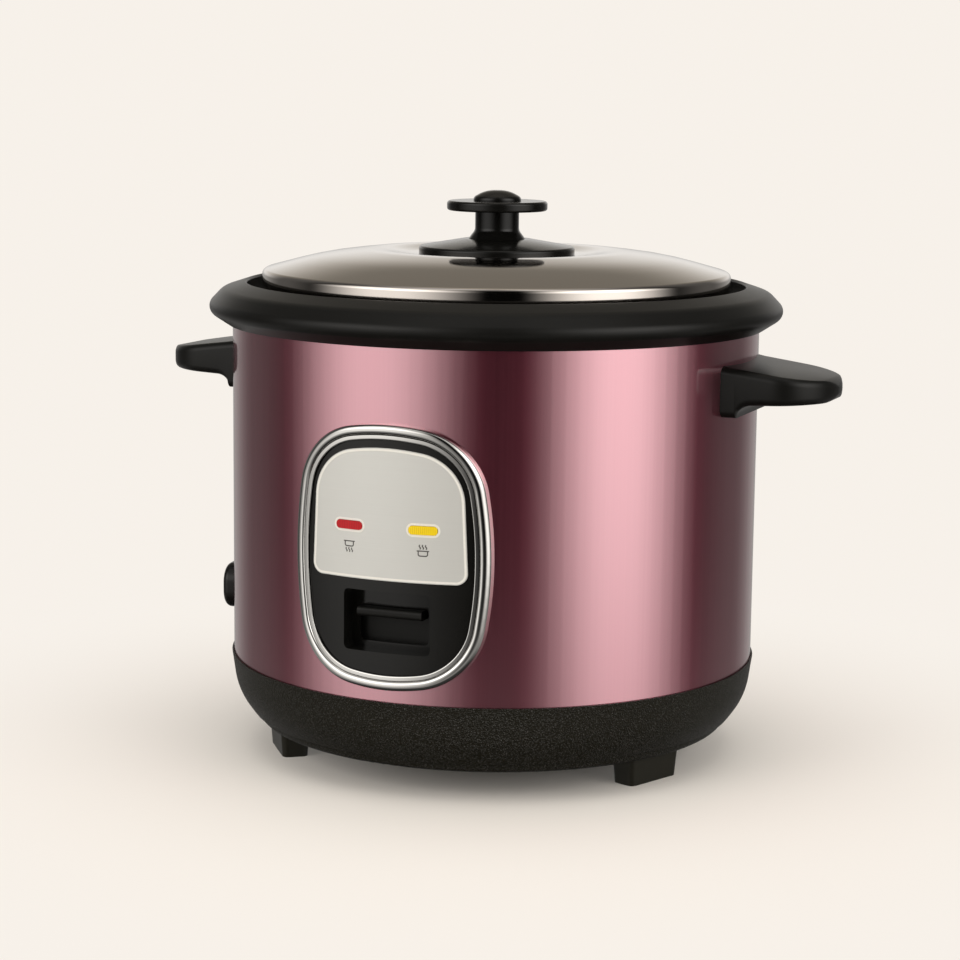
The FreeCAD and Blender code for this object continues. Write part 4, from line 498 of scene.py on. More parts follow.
def moulded_plastic(name, tone, roughness, grain, relief, coat=0.0):
    """Moulded plastic: a surface texture of the given grain, and handling marks in its gloss."""
    material, shader = new_material(name)
    pores = shader.noise(scale=grain)
    marks = shader.noise(scale=24.0, detail=4.0)
    shader.surface({
        "Base Color": shader.mix(marks, rgba(tone), toned(tone, gain=1.35, lift=0.002)),
        "Roughness": roughness + marks * 0.09, "Specular IOR Level": 0.18,
        "Normal": shader.bump(pores, strength=relief, depth=0.0003),
        "Coat Weight": coat, "Coat Roughness": 0.08})
    return material


def grained_plastic(name, tone):
    """Tough plastic with a pebbled grain, and painted highlights on the tops of the pebbles."""
    material, shader = new_material(name)
    pebbles = (1.0 - shader.cells(scale=1250.0) * 1.5).clamped()
    patches = shader.noise(scale=900.0)
    # Painted highlight: the pebble tops are made pale in patches, standing in for light that catches them.
    pebble_highlight = (pebbles ** 3.0 * (patches * 2.4 - 0.5)).clamped()
    shader.surface({
        "Base Color": shader.mix(pebble_highlight, rgba(tone), toned(tone, gain=1.0, lift=0.14)),
        "Roughness": 0.4 + pebbles * 0.15, "Specular IOR Level": 0.15,
        "Normal": shader.bump(pebbles, strength=0.8, depth=0.0008)})
    return material


def printed_metal(name, tone):
    """Silver print with a faint level brushing."""
    material, shader = new_material(name)
    lines = shader.noise(scale=1.0, stretch=(20.0, 20.0, 5200.0))
    shader.surface({
        "Base Color": shader.mix(lines, toned(tone, gain=0.92), rgba(tone)),
        "Metallic": 0.25, "Roughness": 0.4 + lines * 0.12})
    return material


def clear_lens(name, tone, flute_turn=7000.0):
    """Coloured clear plastic over a fluted back, with a faint painted glow as if a lamp behind it were lit.
    """
    material, shader = new_material(name)
    x, _, _ = shader.axes()
    flutes = shader.add("ShaderNodeMath", {"operation": "SINE"}, {0: x * flute_turn}) * 0.5 + 0.5
    glow = shader.mix(flutes, toned(tone, gain=0.62), rgba(tone))
    # Painted glow: the emission makes the lens shine by itself, though no light sits behind it.
    shader.surface({
        "Base Color": glow, "Roughness": 0.2 + flutes * 0.05, "Specular IOR Level": 0.25,
        "Emission Color": glow, "Emission Strength": 0.22})
    return material


def fired_ceramic(name, tone):
    """Unglazed ceramic with specks."""
    material, shader = new_material(name)
    specks = shader.noise(scale=900.0)
    shader.surface({
        "Base Color": shader.mix(specks, toned(tone, gain=0.82), rgba(tone)),
        "Roughness": 0.55 + specks * 0.2,
        "Normal": shader.bump(specks, strength=0.1, depth=0.0002)})
    return material


def metal_stock(name, tone, roughness):
    """Small metal parts: brass, ferrite and the like."""
    material, shader = new_material(name)
    tarnish = shader.noise(scale=220.0, detail=4.0)
    shader.surface({
        "Base Color": shader.mix(tarnish, toned(tone, gain=0.7), rgba(tone)),
        "Metallic": 1.0, "Roughness": roughness + tarnish * 0.15})
    return material


def clear_glass(name, tone):
    """Clear lamp glass with a warm tint."""
    material, shader = new_material(name)
    haze = shader.noise(scale=300.0)
    shader.surface({"Base Color": rgba(tone), "Roughness": 0.05 + haze * 0.06,
                    "Transmission Weight": 0.85, "IOR": 1.46})
    return material


def printing_ink(name, tone):
    """A thin layer of screen ink."""
    material, shader = new_material(name)
    spread = shader.noise(scale=1400.0)
    shader.surface({
        "Base Color": shader.mix(spread, toned(tone, gain=0.9), rgba(tone)),
        "Roughness": 0.45 + spread * 0.1})
    return material


def build_finishes():
    """Every finish, by the record's slot that it stands for, and those of the switch knob, feet and inks."""
    tone = settings().colours
    return {
        "shell_paint": brushed_paint("rose_lacquer", tone.paint, tone.paint_dark),
        "black_grain": grained_plastic("grained_black", tone.grain),
        "black_satin": moulded_plastic(
            "satin_black", tone.black, roughness=0.3, grain=1800.0, relief=0.05),
        "black_gloss": moulded_plastic(
            "gloss_black", tone.black, roughness=0.13, grain=900.0, relief=0.015, coat=0.1),
        "polished_steel": polished_steel("lid_steel", tone.lid, roughness=0.055),
        "sheet_steel": rolled_steel("sheet_steel", tone.steel),
        "chrome_trim": plated("chrome", tone.chrome),
        "cast_aluminium": turned_aluminium("plate_aluminium", tone.aluminium, scale=900.0),
        "pot_aluminium": turned_aluminium("pot_aluminium", tone.aluminium, scale=1500.0),
        "label_silver": printed_metal("label_silver", tone.label),
        "lens_red": clear_lens("cook_red", tone.cook_lens),
        "lens_amber": clear_lens("warm_yellow", tone.warm_lens),
        "lamp_glass": clear_glass("lamp_glass", tone.lamp_glass),
        "ceramic_white": fired_ceramic("ceramic", tone.ceramic),
        "ferrite_grey": metal_stock("ferrite", tone.ferrite, roughness=0.5),
        "switch_case": moulded_plastic(
            "switch_case", tone.switch_case, roughness=0.45, grain=1500.0, relief=0.08),
        "terminal_brass": metal_stock("brass", tone.brass, roughness=0.25),
        "spring_steel": rolled_steel("spring_wire", tone.steel),
        "knob_black": moulded_plastic(
            "knob_black", tone.black, roughness=0.45, grain=1500.0, relief=0.03),
        "foot_black": moulded_plastic(
            "foot_black", tone.grain, roughness=0.34, grain=1500.0, relief=0.04),
        "white_ink": printing_ink("white_ink", tone.white_ink),
        "dark_ink": printing_ink("dark_ink", tone.dark_ink),
    }


FINISHES = {}
NODE_SLOTS = {part["node"]: part["material_slot"] for part in frame["record"]["subparts"]}


def rounded(corners, closed=True, step=math.radians(4.0)):
    """Points along straight runs between corners (x, y), with those of (x, y, radius) rounded."""
    points = []
    count = len(corners)
    for i, corner in enumerate(corners):
        here = Vector(corner[:2])
        if len(corner) == 2 or (not closed and i in (0, count - 1)):
            points.append(here)
            continue
        back = (Vector(corners[i - 1][:2]) - here).normalized()
        ahead = (Vector(corners[(i + 1) % count][:2]) - here).normalized()
        half = back.angle(ahead) / 2
        middle = here + (back + ahead).normalized() * (corner[2] / math.sin(half))
        first = here + back * (corner[2] / math.tan(half)) - middle
        last = here + ahead * (corner[2] / math.tan(half)) - middle
        sweep = first.angle_signed(last)
        steps = max(2, math.ceil(abs(sweep) / step))
        for k in range(steps + 1):
            turn = Matrix.Rotation(-sweep * k / steps, 2)
            points.append(middle + turn @ first)
    return points


def mesh_piece(name, verts, faces, slot, sharp=SHARP_EDGE):
    """A finished mesh with outward faces, smooth except across sharp edges."""
    mesh = bpy.data.meshes.new(name)
    work = bmesh.new()
    made = [work.verts.new(v) for v in verts]
    for face in faces:
        work.faces.new([made[i] for i in face])
    bmesh.ops.remove_doubles(work, verts=work.verts, dist=SAME_POINT)
    bmesh.ops.recalc_face_normals(work, faces=work.faces)
    work.to_mesh(mesh)
    work.free()
    return finish_mesh(name, mesh, slot, sharp)


def finish_mesh(name, mesh, slot, sharp):
    """An object for a mesh, in one finish and smooth except across sharp edges."""
    mesh.materials.clear()
    mesh.materials.append(FINISHES[slot])
    mesh.shade_smooth()
    mesh.set_sharp_from_angle(angle=sharp)
    piece = bpy.data.objects.new(name, mesh)
    bpy.context.scene.collection.objects.link(piece)
    return piece


def settle(piece, body, slot, *nodes):
    """Let a piece ride on a body and stand for the CAD nodes that it replaces."""
    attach(piece, body)
    if nodes:
        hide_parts(*nodes)


def body_of_node(node):
    """The body that carries a CAD node."""
    return next(body for body, nodes in frame["record"]["behaviour"]["bodies"].items() if node in nodes)


def true_round(work, radii, step=math.radians(1.5), reach=0.00015):
    """Cut long facets into narrow upright strips and set them on their true radii about the axis."""
    for k in range(round(math.pi / step)):
        across = (math.cos(k * step), math.sin(k * step), 0.0)
        parts = work.verts[:] + work.edges[:] + work.faces[:]
        bmesh.ops.bisect_plane(
            work, geom=parts, dist=SAME_POINT, plane_co=(0.0, 0.0, 0.0), plane_no=across)
    for vert in work.verts:
        found = vert.co.xy.length
        for radius in radii:
            if abs(found - radius) < reach:
                vert.co.xy *= radius / found


def smooth_node(node, radii=(), finish=None):
    """A merged copy of a CAD node with smooth curved faces, which stands for it."""
    slot = NODE_SLOTS[node]
    mesh = frame["nodes"][node].data.copy()
    if mesh.has_custom_normals:
        mesh.attributes.remove(mesh.attributes["custom_normal"])
    work = bmesh.new()
    work.from_mesh(mesh)
    bmesh.ops.remove_doubles(work, verts=work.verts, dist=SAME_NODE_POINT)
    if radii:
        true_round(work, radii)
    work.to_mesh(mesh)
    work.free()
    piece = finish_mesh(f"{node}_skin", mesh, finish or slot, SHARP_NODE_EDGE)
    settle(piece, body_of_node(node), slot, node)


def turned(name, corners, base, slot):
    """A piece turned about the axis, from a closed half section in millimetres above a base height."""
    section = rounded([tuple(value * MM for value in corner) for corner in corners])
    steps = settings().sizes.segments
    verts, rows = [], []
    for point in section:
        if point.x < NO_LENGTH:
            rows.append([len(verts)] * steps)
            verts.append((0.0, 0.0, base + point.y))
            continue
        rows.append(list(range(len(verts), len(verts) + steps)))
        for k in range(steps):
            turn = 2 * math.pi * k / steps
            verts.append((point.x * math.cos(turn), point.x * math.sin(turn), base + point.y))
    faces = []
    for row, following in zip(rows, rows[1:] + rows[:1]):
        if row[0] == row[1] and following[0] == following[1]:
            continue
        for k in range(steps):
            ahead = (k + 1) % steps
            face = [row[k], row[ahead], following[ahead], following[k]]
            faces.append(list(dict.fromkeys(face)))
    return mesh_piece(name, verts, faces, slot)


def on_shell(across, height, rise):
    """A point of the panel's drawing, laid on the shell's curve at a rise above it."""
    radius = SHELL_RADIUS + rise
    return (across, -math.sqrt(radius * radius - across * across), height)


def with_normals(points):
    """The points of a closed outline that runs anticlockwise, each with its outward normal."""
    count = len(points)
    made = []
    for i, point in enumerate(points):
        along = (points[(i + 1) % count] - points[i - 1]).normalized()
        made.append((point, Vector((along.y, -along.x))))
    return made


def even(points, gap):
    """A closed outline without doubled points and without runs longer than a gap."""
    kept = [point for i, point in enumerate(points) if (point - points[i - 1]).length > NO_LENGTH]
    made = []
    for i, point in enumerate(kept):
        ahead = kept[(i + 1) % len(kept)]
        steps = max(1, math.ceil((ahead - point).length / gap))
        made += [point.lerp(ahead, k / steps) for k in range(steps)]
    return made


def tube_faces(rings, wide, closed=False):
    """Faces between rings of as many points each, with caps on both ends unless they close."""
    faces = []
    for i in range(rings if closed else rings - 1):
        here, following = i * wide, ((i + 1) % rings) * wide
        for k in range(wide):
            ahead = (k + 1) % wide
            faces.append((here + k, here + ahead, following + ahead, following + k))
    if not closed:
        last = (rings - 1) * wide
        faces += [tuple(range(wide)), tuple(range(last, last + wide))]
    return faces


def swept(name, outline, section, slot):
    """A rim along a closed outline on the shell: its section is pairs of inset and rise."""
    path = with_normals(even(outline, OUTLINE_RUN))
    verts = []
    for point, outward in path:
        for inset, rise in section:
            spot = point - outward * inset
            verts.append(on_shell(spot.x, spot.y, rise))
    return mesh_piece(name, verts, tube_faces(len(path), len(section), closed=True), slot)


def panel_corners(inset):
    """Middle, bottom, half width and lower shoulder of the panel's drawing, at an inset from its edge."""
    size = settings().sizes
    middle = (size.panel_low + size.panel_high) / 2
    low = size.panel_low + inset * math.hypot(1.0, size.panel_arch)
    half = size.panel_half - inset * math.hypot(1.0, size.panel_side)
    shoulder = (half - (middle - low) * size.panel_side) / (1.0 - size.panel_arch * size.panel_side)
    return middle, low, half, shoulder, low + shoulder * size.panel_arch


def panel_outline(step=math.radians(1.5)):
    """The bezel's outline, anticlockwise as seen from the front."""
    size = settings().sizes
    middle, low, half, shoulder, shoulder_low = panel_corners(0.0)
    high, shoulder_high = 2 * middle - low, 2 * middle - shoulder_low
    crown, corner, side = size.panel_crown_round, size.panel_corner_round, size.panel_side_round
    return rounded([
        (0.0, low, crown), (shoulder, shoulder_low, corner), (half, middle, side),
        (shoulder, shoulder_high, corner), (0.0, high, crown), (-shoulder, shoulder_high, corner),
        (-half, middle, side), (-shoulder, shoulder_low, corner)], step=step)


def label_outline(step=math.radians(2.0)):
    """The label's outline, anticlockwise: an arched top over almost upright sides."""
    size = settings().sizes
    middle, low, *_ = panel_corners(size.label_inset)
    high = 2 * middle - low
    bottom = high - size.label_height
    half = size.panel_half - size.label_side_inset
    shoulder = (half - size.label_height * size.label_side) / (1.0 - size.panel_arch * size.label_side)
    shoulder_high = high - shoulder * size.panel_arch
    corner = size.panel_corner_round - size.label_inset
    return rounded([
        (half, bottom, size.label_corner), (shoulder, shoulder_high, corner),
        (0.0, high, size.panel_crown_round - size.label_inset), (-shoulder, shoulder_high, corner),
        (-half, bottom, size.label_corner)], step=step)


def lens_outline(across, height):
    """The outline of a lens about its middle, anticlockwise."""
    size = settings().sizes
    wide, tall = size.lens_half_width, size.lens_half_height
    corner = tall * LENS_ROUND
    return rounded([(across + wide, height - tall, corner), (across + wide, height + tall, corner),
                    (across - wide, height + tall, corner), (across - wide, height - tall, corner)])


def label_face():
    """Rise of the label's face above the shell."""
    return -LABEL[0].y - SHELL_RADIUS


def join(name, pieces):
    """One object from several, for a group of like marks."""
    work = bmesh.new()
    for piece in pieces:
        work.from_mesh(piece.data)
    mesh = pieces[0].data
    work.to_mesh(mesh)
    work.free()
    for extra in pieces[1:]:
        old = extra.data
        bpy.data.objects.remove(extra)
        bpy.data.meshes.remove(old)
    pieces[0].name = name
    mesh.name = name
    return pieces[0]


def inked_stroke(name, points, slot):
    """A printed line along points of the panel's drawing."""
    size = settings().sizes
    half = size.stroke / 2
    low, high = label_face() - size.ink_height, label_face() + size.ink_height
    verts = []
    for i, point in enumerate(points):
        before, after = points[max(i - 1, 0)], points[min(i + 1, len(points) - 1)]
        along = (after - before).normalized()
        aside = Vector((-along.y, along.x)) * half
        left, right = point - aside, point + aside
        section = ((left, low), (right, low), (right, high), (left, high))
        verts += [on_shell(spot.x, spot.y, rise) for spot, rise in section]
    return mesh_piece(name, verts, tube_faces(len(points), len(section)), slot)


class COOKER_OT_finishes(bpy.types.Operator):
    """Make the finishes and give them to the CAD pieces"""
    bl_idname = "rice_cooker.finishes"
    bl_label = "Finishes"

    def execute(self, context):
        FINISHES.update(build_finishes())
        for node, piece in frame["nodes"].items():
            finish = FINISHES[NODE_SLOTS[node]]
            for place in piece.material_slots:
                place.material = finish
        return {"FINISHED"}


class COOKER_OT_housing(bpy.types.Operator):
    """Smooth the shell, the tray, the feet and the small outside pieces"""
    bl_idname = "rice_cooker.housing"
    bl_label = "Housing"

    def execute(self, context):
        for node in ("base_tray", "inlet_socket"):
            smooth_node(node)
        smooth_node("lever_knob", finish="knob_black")
        for node in ("foot_left", "foot_right", "foot_rear"):
            smooth_node(node, finish="foot_black")
        for node in ("outer_shell", "panel_fascia", "label_plate", "cook_lens", "warm_lens"):
            face = self.face_radius(node)
            smooth_node(node, [face] + [face - wall for wall in SHEET_WALLS])
        return {"FINISHED"}

    def face_radius(self, node):
        """Distance of a piece's outer face from the axis."""
        return max(vert.co.xy.length for vert in frame["nodes"][node].data.vertices)


class COOKER_OT_cavity(bpy.types.Operator):
    """Smooth what shows when the pot is out: liner, heating plate and sensor cap"""
    bl_idname = "rice_cooker.cavity"
    bl_label = "Cavity"

    def execute(self, context):
        for node in ("inner_liner", "heating_plate", "sensor_cap"):
            smooth_node(node)
        return {"FINISHED"}


class COOKER_OT_ring(bpy.types.Operator):
    """Turn the black ring round the mouth"""
    bl_idname = "rice_cooker.ring"
    bl_label = "Ring"

    def execute(self, context):
        ring = turned("top_ring_turned", RING_SECTION, RING[0].z, "black_satin")
        settle(ring, "housing", "black_satin", "top_ring")
        return {"FINISHED"}


class COOKER_OT_lid(bpy.types.Operator):
    """Turn the lid and pierce its steam hole"""
    bl_idname = "rice_cooker.lid"
    bl_label = "Lid"

    def execute(self, context):
        lid = turned("lid_turned", LID_SECTION, LID[0].z, "polished_steel")
        self.pierce(lid)
        settle(lid, "lid", "polished_steel", "lid_shell")
        return {"FINISHED"}

    def pierce(self, lid):
        """Drill the steam hole upright through the lid."""
        size = settings().sizes
        radius = size.steam_hole_radius
        work = bmesh.new()
        middle = Matrix.Translation((0.0, size.steam_hole_place, LID[1].z))
        tall = 2 * (LID[1].z - LID[0].z)
        bmesh.ops.create_cone(work, cap_ends=True, segments=STEAM_HOLE_STEPS, radius1=radius, radius2=radius,
                              depth=tall, matrix=middle)
        mesh = bpy.data.meshes.new("steam_drill")
        work.to_mesh(mesh)
        work.free()
        drill = bpy.data.objects.new("steam_drill", mesh)
        bpy.context.scene.collection.objects.link(drill)
        cut = lid.modifiers.new("steam_hole", "BOOLEAN")
        cut.object = drill
        cut.solver = "EXACT"
        graph = bpy.context.evaluated_depsgraph_get()
        pierced = bpy.data.meshes.new_from_object(lid.evaluated_get(graph))
        lid.modifiers.clear()
        lid.data = pierced
        pierced.shade_smooth()
        pierced.set_sharp_from_angle(angle=SHARP_EDGE)
        bpy.data.objects.remove(drill)


class COOKER_OT_lid_knob(bpy.types.Operator):
    """Turn the knob's foot plate, stem and cap"""
    bl_idname = "rice_cooker.lid_knob"
    bl_label = "Lid knob"

    def execute(self, context):
        for node, section, box in (("lid_knob_base", KNOB_PLATE_SECTION, KNOB_BASE),
                                   ("lid_knob", KNOB_STEM_SECTION, KNOB),
                                   ("lid_knob_cap", KNOB_DOME_SECTION, CAP)):
            piece = turned(f"{node}_turned", section, box[0].z, "black_gloss")
            settle(piece, "lid", "black_gloss", node)
        return {"FINISHED"}


class COOKER_OT_handles(bpy.types.Operator):
    """Loft the two side grips with their rounded edges"""
    bl_idname = "rice_cooker.handles"
    bl_label = "Handles"

    def execute(self, context):
        for node, side in (("handle_right", 1.0), ("handle_left", -1.0)):
            verts, faces = self.loft(side)
            grip = mesh_piece(f"{node}_lofted", verts, faces, "black_satin", SHARP_GRIP_EDGE)
            settle(grip, "housing", "black_satin", node)
        return {"FINISHED"}

    def loft(self, side):
        """Sections across the grip from the shell to the tip, each a rounded rectangle."""
        size = settings().sizes
        reaches = self.reaches()
        verts = []
        for reach in reaches:
            half, low, high = self.section(reach)
            corner = min(size.handle_edge, half * EDGE_OF_HALF, (high - low) * EDGE_OF_HEIGHT)
            corners = [(half, low, corner), (half, high, corner), (-half, high, corner), (-half, low, corner)]
            ring = rounded(corners, step=math.radians(12.0))
            for across, height in ring:
                seat = math.sqrt(SHELL_RADIUS ** 2 - across ** 2)
                verts.append((side * max(reach, seat), side * across, height))
        return verts, tube_faces(len(reaches), len(ring))

    def reaches(self):
        """Distances of the sections from the axis, closer together in the cove and at the tip."""
        tip_length = settings().sizes.handle_tip
        tip_start = GRIP_TIP - tip_length
        plain = tip_start - GRIP_FLANGE - AFTER_COVE
        made = [GRIP_ROOT, SHELL_RADIUS, GRIP_FLANGE - BEFORE_COVE]
        made += [GRIP_FLANGE - COVE_START + COVE_LENGTH * k / COVE_STEPS for k in range(COVE_STEPS + 1)]
        made += [GRIP_FLANGE + AFTER_COVE + plain * k / GRIP_STEPS for k in range(1, GRIP_STEPS + 1)]
        made += [tip_start + tip_length * math.sin(math.pi / 2 * k / TIP_STEPS) for k in range(1, TIP_STEPS)]
        return made + [GRIP_TIP - end for end in TIP_ENDS]

    def section(self, reach):
        """Half width, bottom and top of the grip at a distance from the axis."""
        size = settings().sizes
        top, bottom = HANDLE[1].z, HANDLE[0].z
        tip_start, nose_start = GRIP_TIP - size.handle_tip, GRIP_TIP - size.handle_nose
        along = (reach - GRIP_ROOT) / (GRIP_TIP - GRIP_ROOT)
        high = top - size.handle_fall * along
        outside = max(0.0, (reach - GRIP_FLANGE) / (GRIP_TIP - GRIP_FLANGE))
        under = top - size.handle_thickness + size.handle_rise * outside
        rise = min(max((reach - GRIP_FLANGE + COVE_START) / COVE_LENGTH, 0.0), 1.0)
        low = bottom + (under - bottom) * math.sqrt(rise * (2.0 - rise))
        half = size.handle_half - size.handle_taper * reach / GRIP_TIP
        if reach > tip_start:
            half *= math.sqrt(max(1.0 - ((reach - tip_start) / size.handle_tip) ** 2, 0.0))
        if reach > nose_start:
            nose = size.handle_nose
            shrink = nose - math.sqrt(max(nose ** 2 - (reach - nose_start) ** 2, 0.0))
            high -= shrink
            low += shrink
        return half, low, high


class COOKER_OT_bezel(bpy.types.Operator):
    """Sweep the chrome bezel round the panel"""
    bl_idname = "rice_cooker.bezel"
    bl_label = "Bezel"

    def execute(self, context):
        size = settings().sizes
        inner = size.bezel_band + size.bezel_lip
        section = rounded([
            (0.0, 0.0), (size.bezel_rebate, 0.0), (size.bezel_rebate, size.bezel_rebate_height),
            (inner, size.bezel_rebate_height), (inner, size.bezel_lip_height, BEZEL_LIP_ROUND),
            (size.bezel_band, size.bezel_lip_height), (size.bezel_band, size.bezel_height, size.bezel_round),
            (0.0, size.bezel_height, size.bezel_round)], step=math.radians(9.0))
        bezel = swept("panel_bezel_swept", panel_outline(), section, "chrome_trim")
        settle(bezel, "housing", "chrome_trim", "panel_bezel")
        return {"FINISHED"}


class COOKER_OT_print(bpy.types.Operator):
    """Print the label's border, the lens rims and the two signs"""
    bl_idname = "rice_cooker.print"
    bl_label = "Print"

    def execute(self, context):
        size = settings().sizes
        low, high = label_face() - size.ink_height, label_face() + size.ink_height
        inner = size.border_inset + size.border_width
        band = [(size.border_inset, low), (inner, low), (inner, high), (size.border_inset, high)]
        rims = [swept("label_border", label_outline(), band, "white_ink")]
        outer = -LENS_GAP - size.lens_rim
        ring = [(-LENS_GAP, low), (outer, low), (outer, high), (-LENS_GAP, high)]
        for lens in (COOK_LENS, WARM_LENS):
            middle = (lens[0] + lens[1]) / 2
            rims.append(swept("lens_rim", lens_outline(middle.x, middle.z), ring, "white_ink"))
        settle(join("label_white_print", rims), "housing", "label_silver")
        strokes = []
        for lens, heated in ((COOK_LENS, True), (WARM_LENS, False)):
            middle = (lens[0] + lens[1]) / 2
            strokes += self.sign(Vector((middle.x, lens[0].z - SIGN_DROP)), heated)
        settle(join("label_dark_print", strokes), "housing", "label_silver")
        return {"FINISHED"}

    def sign(self, middle, heated):
        """A pot with waves: of heat below it while cooking, of steam above it while kept warm."""
        corners = [(-SIGN_POT_HALF, SIGN_POT_HIGH), (-SIGN_POT_HALF, SIGN_POT_LOW, SIGN_POT_ROUND),
                   (SIGN_POT_HALF, SIGN_POT_LOW, SIGN_POT_ROUND), (SIGN_POT_HALF, SIGN_POT_HIGH)]
        pot = rounded(corners, closed=False, step=math.radians(15.0))
        rim = [Vector((across, SIGN_POT_HIGH)) for across in (-SIGN_RIM_HALF, 0.0, SIGN_RIM_HALF)]
        start = HEAT_START if heated else STEAM_START
        waves = [[self.wave_point(order, start, k) for k in range(WAVE_STEPS + 1)] for order in (-1, 0, 1)]
        shift = Vector((0.0, SIGN_SHIFT if heated else -SIGN_SHIFT))
        return [inked_stroke("sign_stroke", [point + middle + shift for point in line], "dark_ink")
                for line in (pot, rim, *waves)]

    def wave_point(self, order, start, step):
        """A point of one of the three waves, which sways once from foot to head."""
        sway = WAVE_SWAY * math.sin(2 * math.pi * step / WAVE_STEPS)
        return Vector((order * WAVE_PITCH + sway, start + WAVE_HEIGHT * step / WAVE_STEPS))


class COOKER_OT_pot(bpy.types.Operator):
    """Turn the pot and stamp its level marks"""
    bl_idname = "rice_cooker.pot"
    bl_label = "Pot"

    def execute(self, context):
        pot = turned("inner_pot_turned", POT_SECTION, POT[0].z, "pot_aluminium")
        settle(pot, "pot", "pot_aluminium", "inner_pot")
        settle(self.level_marks(), "pot", "pot_aluminium")
        return {"FINISHED"}

    def level_marks(self):
        """Raised marks up the inside of the pot, repeated by a node tree."""
        size = settings().sizes
        tree = bpy.data.node_groups.new("level_marks", "GeometryNodeTree")
        tree.interface.new_socket("Geometry", in_out="OUTPUT", socket_type="NodeSocketGeometry")
        sockets = {}
        for name, kind in (("Count", "NodeSocketInt"), ("Pitch", "NodeSocketFloat"),
                           ("Bar", "NodeSocketVector"), ("Start", "NodeSocketVector")):
            sockets[name] = tree.interface.new_socket(name, in_out="INPUT", socket_type=kind)
        given = tree.nodes.new("NodeGroupInput")
        step = tree.nodes.new("ShaderNodeCombineXYZ")
        line = tree.nodes.new("GeometryNodeMeshLine")
        bar = tree.nodes.new("GeometryNodeMeshCube")
        spread = tree.nodes.new("GeometryNodeInstanceOnPoints")
        real = tree.nodes.new("GeometryNodeRealizeInstances")
        paint = tree.nodes.new("GeometryNodeSetMaterial")
        out = tree.nodes.new("NodeGroupOutput")
        paint.inputs["Material"].default_value = FINISHES["pot_aluminium"]
        for source, target in ((given.outputs["Pitch"], step.inputs["Z"]),
                               (given.outputs["Count"], line.inputs["Count"]),
                               (given.outputs["Start"], line.inputs["Start Location"]),
                               (step.outputs[0], line.inputs["Offset"]),
                               (given.outputs["Bar"], bar.inputs["Size"]),
                               (line.outputs["Mesh"], spread.inputs["Points"]),
                               (bar.outputs["Mesh"], spread.inputs["Instance"]),
                               (spread.outputs[0], real.inputs[0]),
                               (real.outputs[0], paint.inputs["Geometry"]),
                               (paint.outputs[0], out.inputs[0])):
            tree.links.new(source, target)
        carrier = bpy.data.objects.new("pot_level_marks", bpy.data.meshes.new("pot_level_marks"))
        bpy.context.scene.collection.objects.link(carrier)
        rows = carrier.modifiers.new("level_marks", "NODES")
        rows.node_group = tree
        bar_size = (size.level_wide, size.level_thick, size.level_tall)
        start = (0.0, POT_INSIDE * MM - size.level_sink, POT[0].z + size.level_start)
        values = {"Count": size.level_marks, "Pitch": size.level_pitch, "Bar": bar_size, "Start": start}
        for name, value in values.items():
            rows[sockets[name].identifier] = value
        graph = bpy.context.evaluated_depsgraph_get()
        marks = bpy.data.meshes.new_from_object(carrier.evaluated_get(graph))
        carrier.modifiers.clear()
        carrier.data = marks
        return carrier


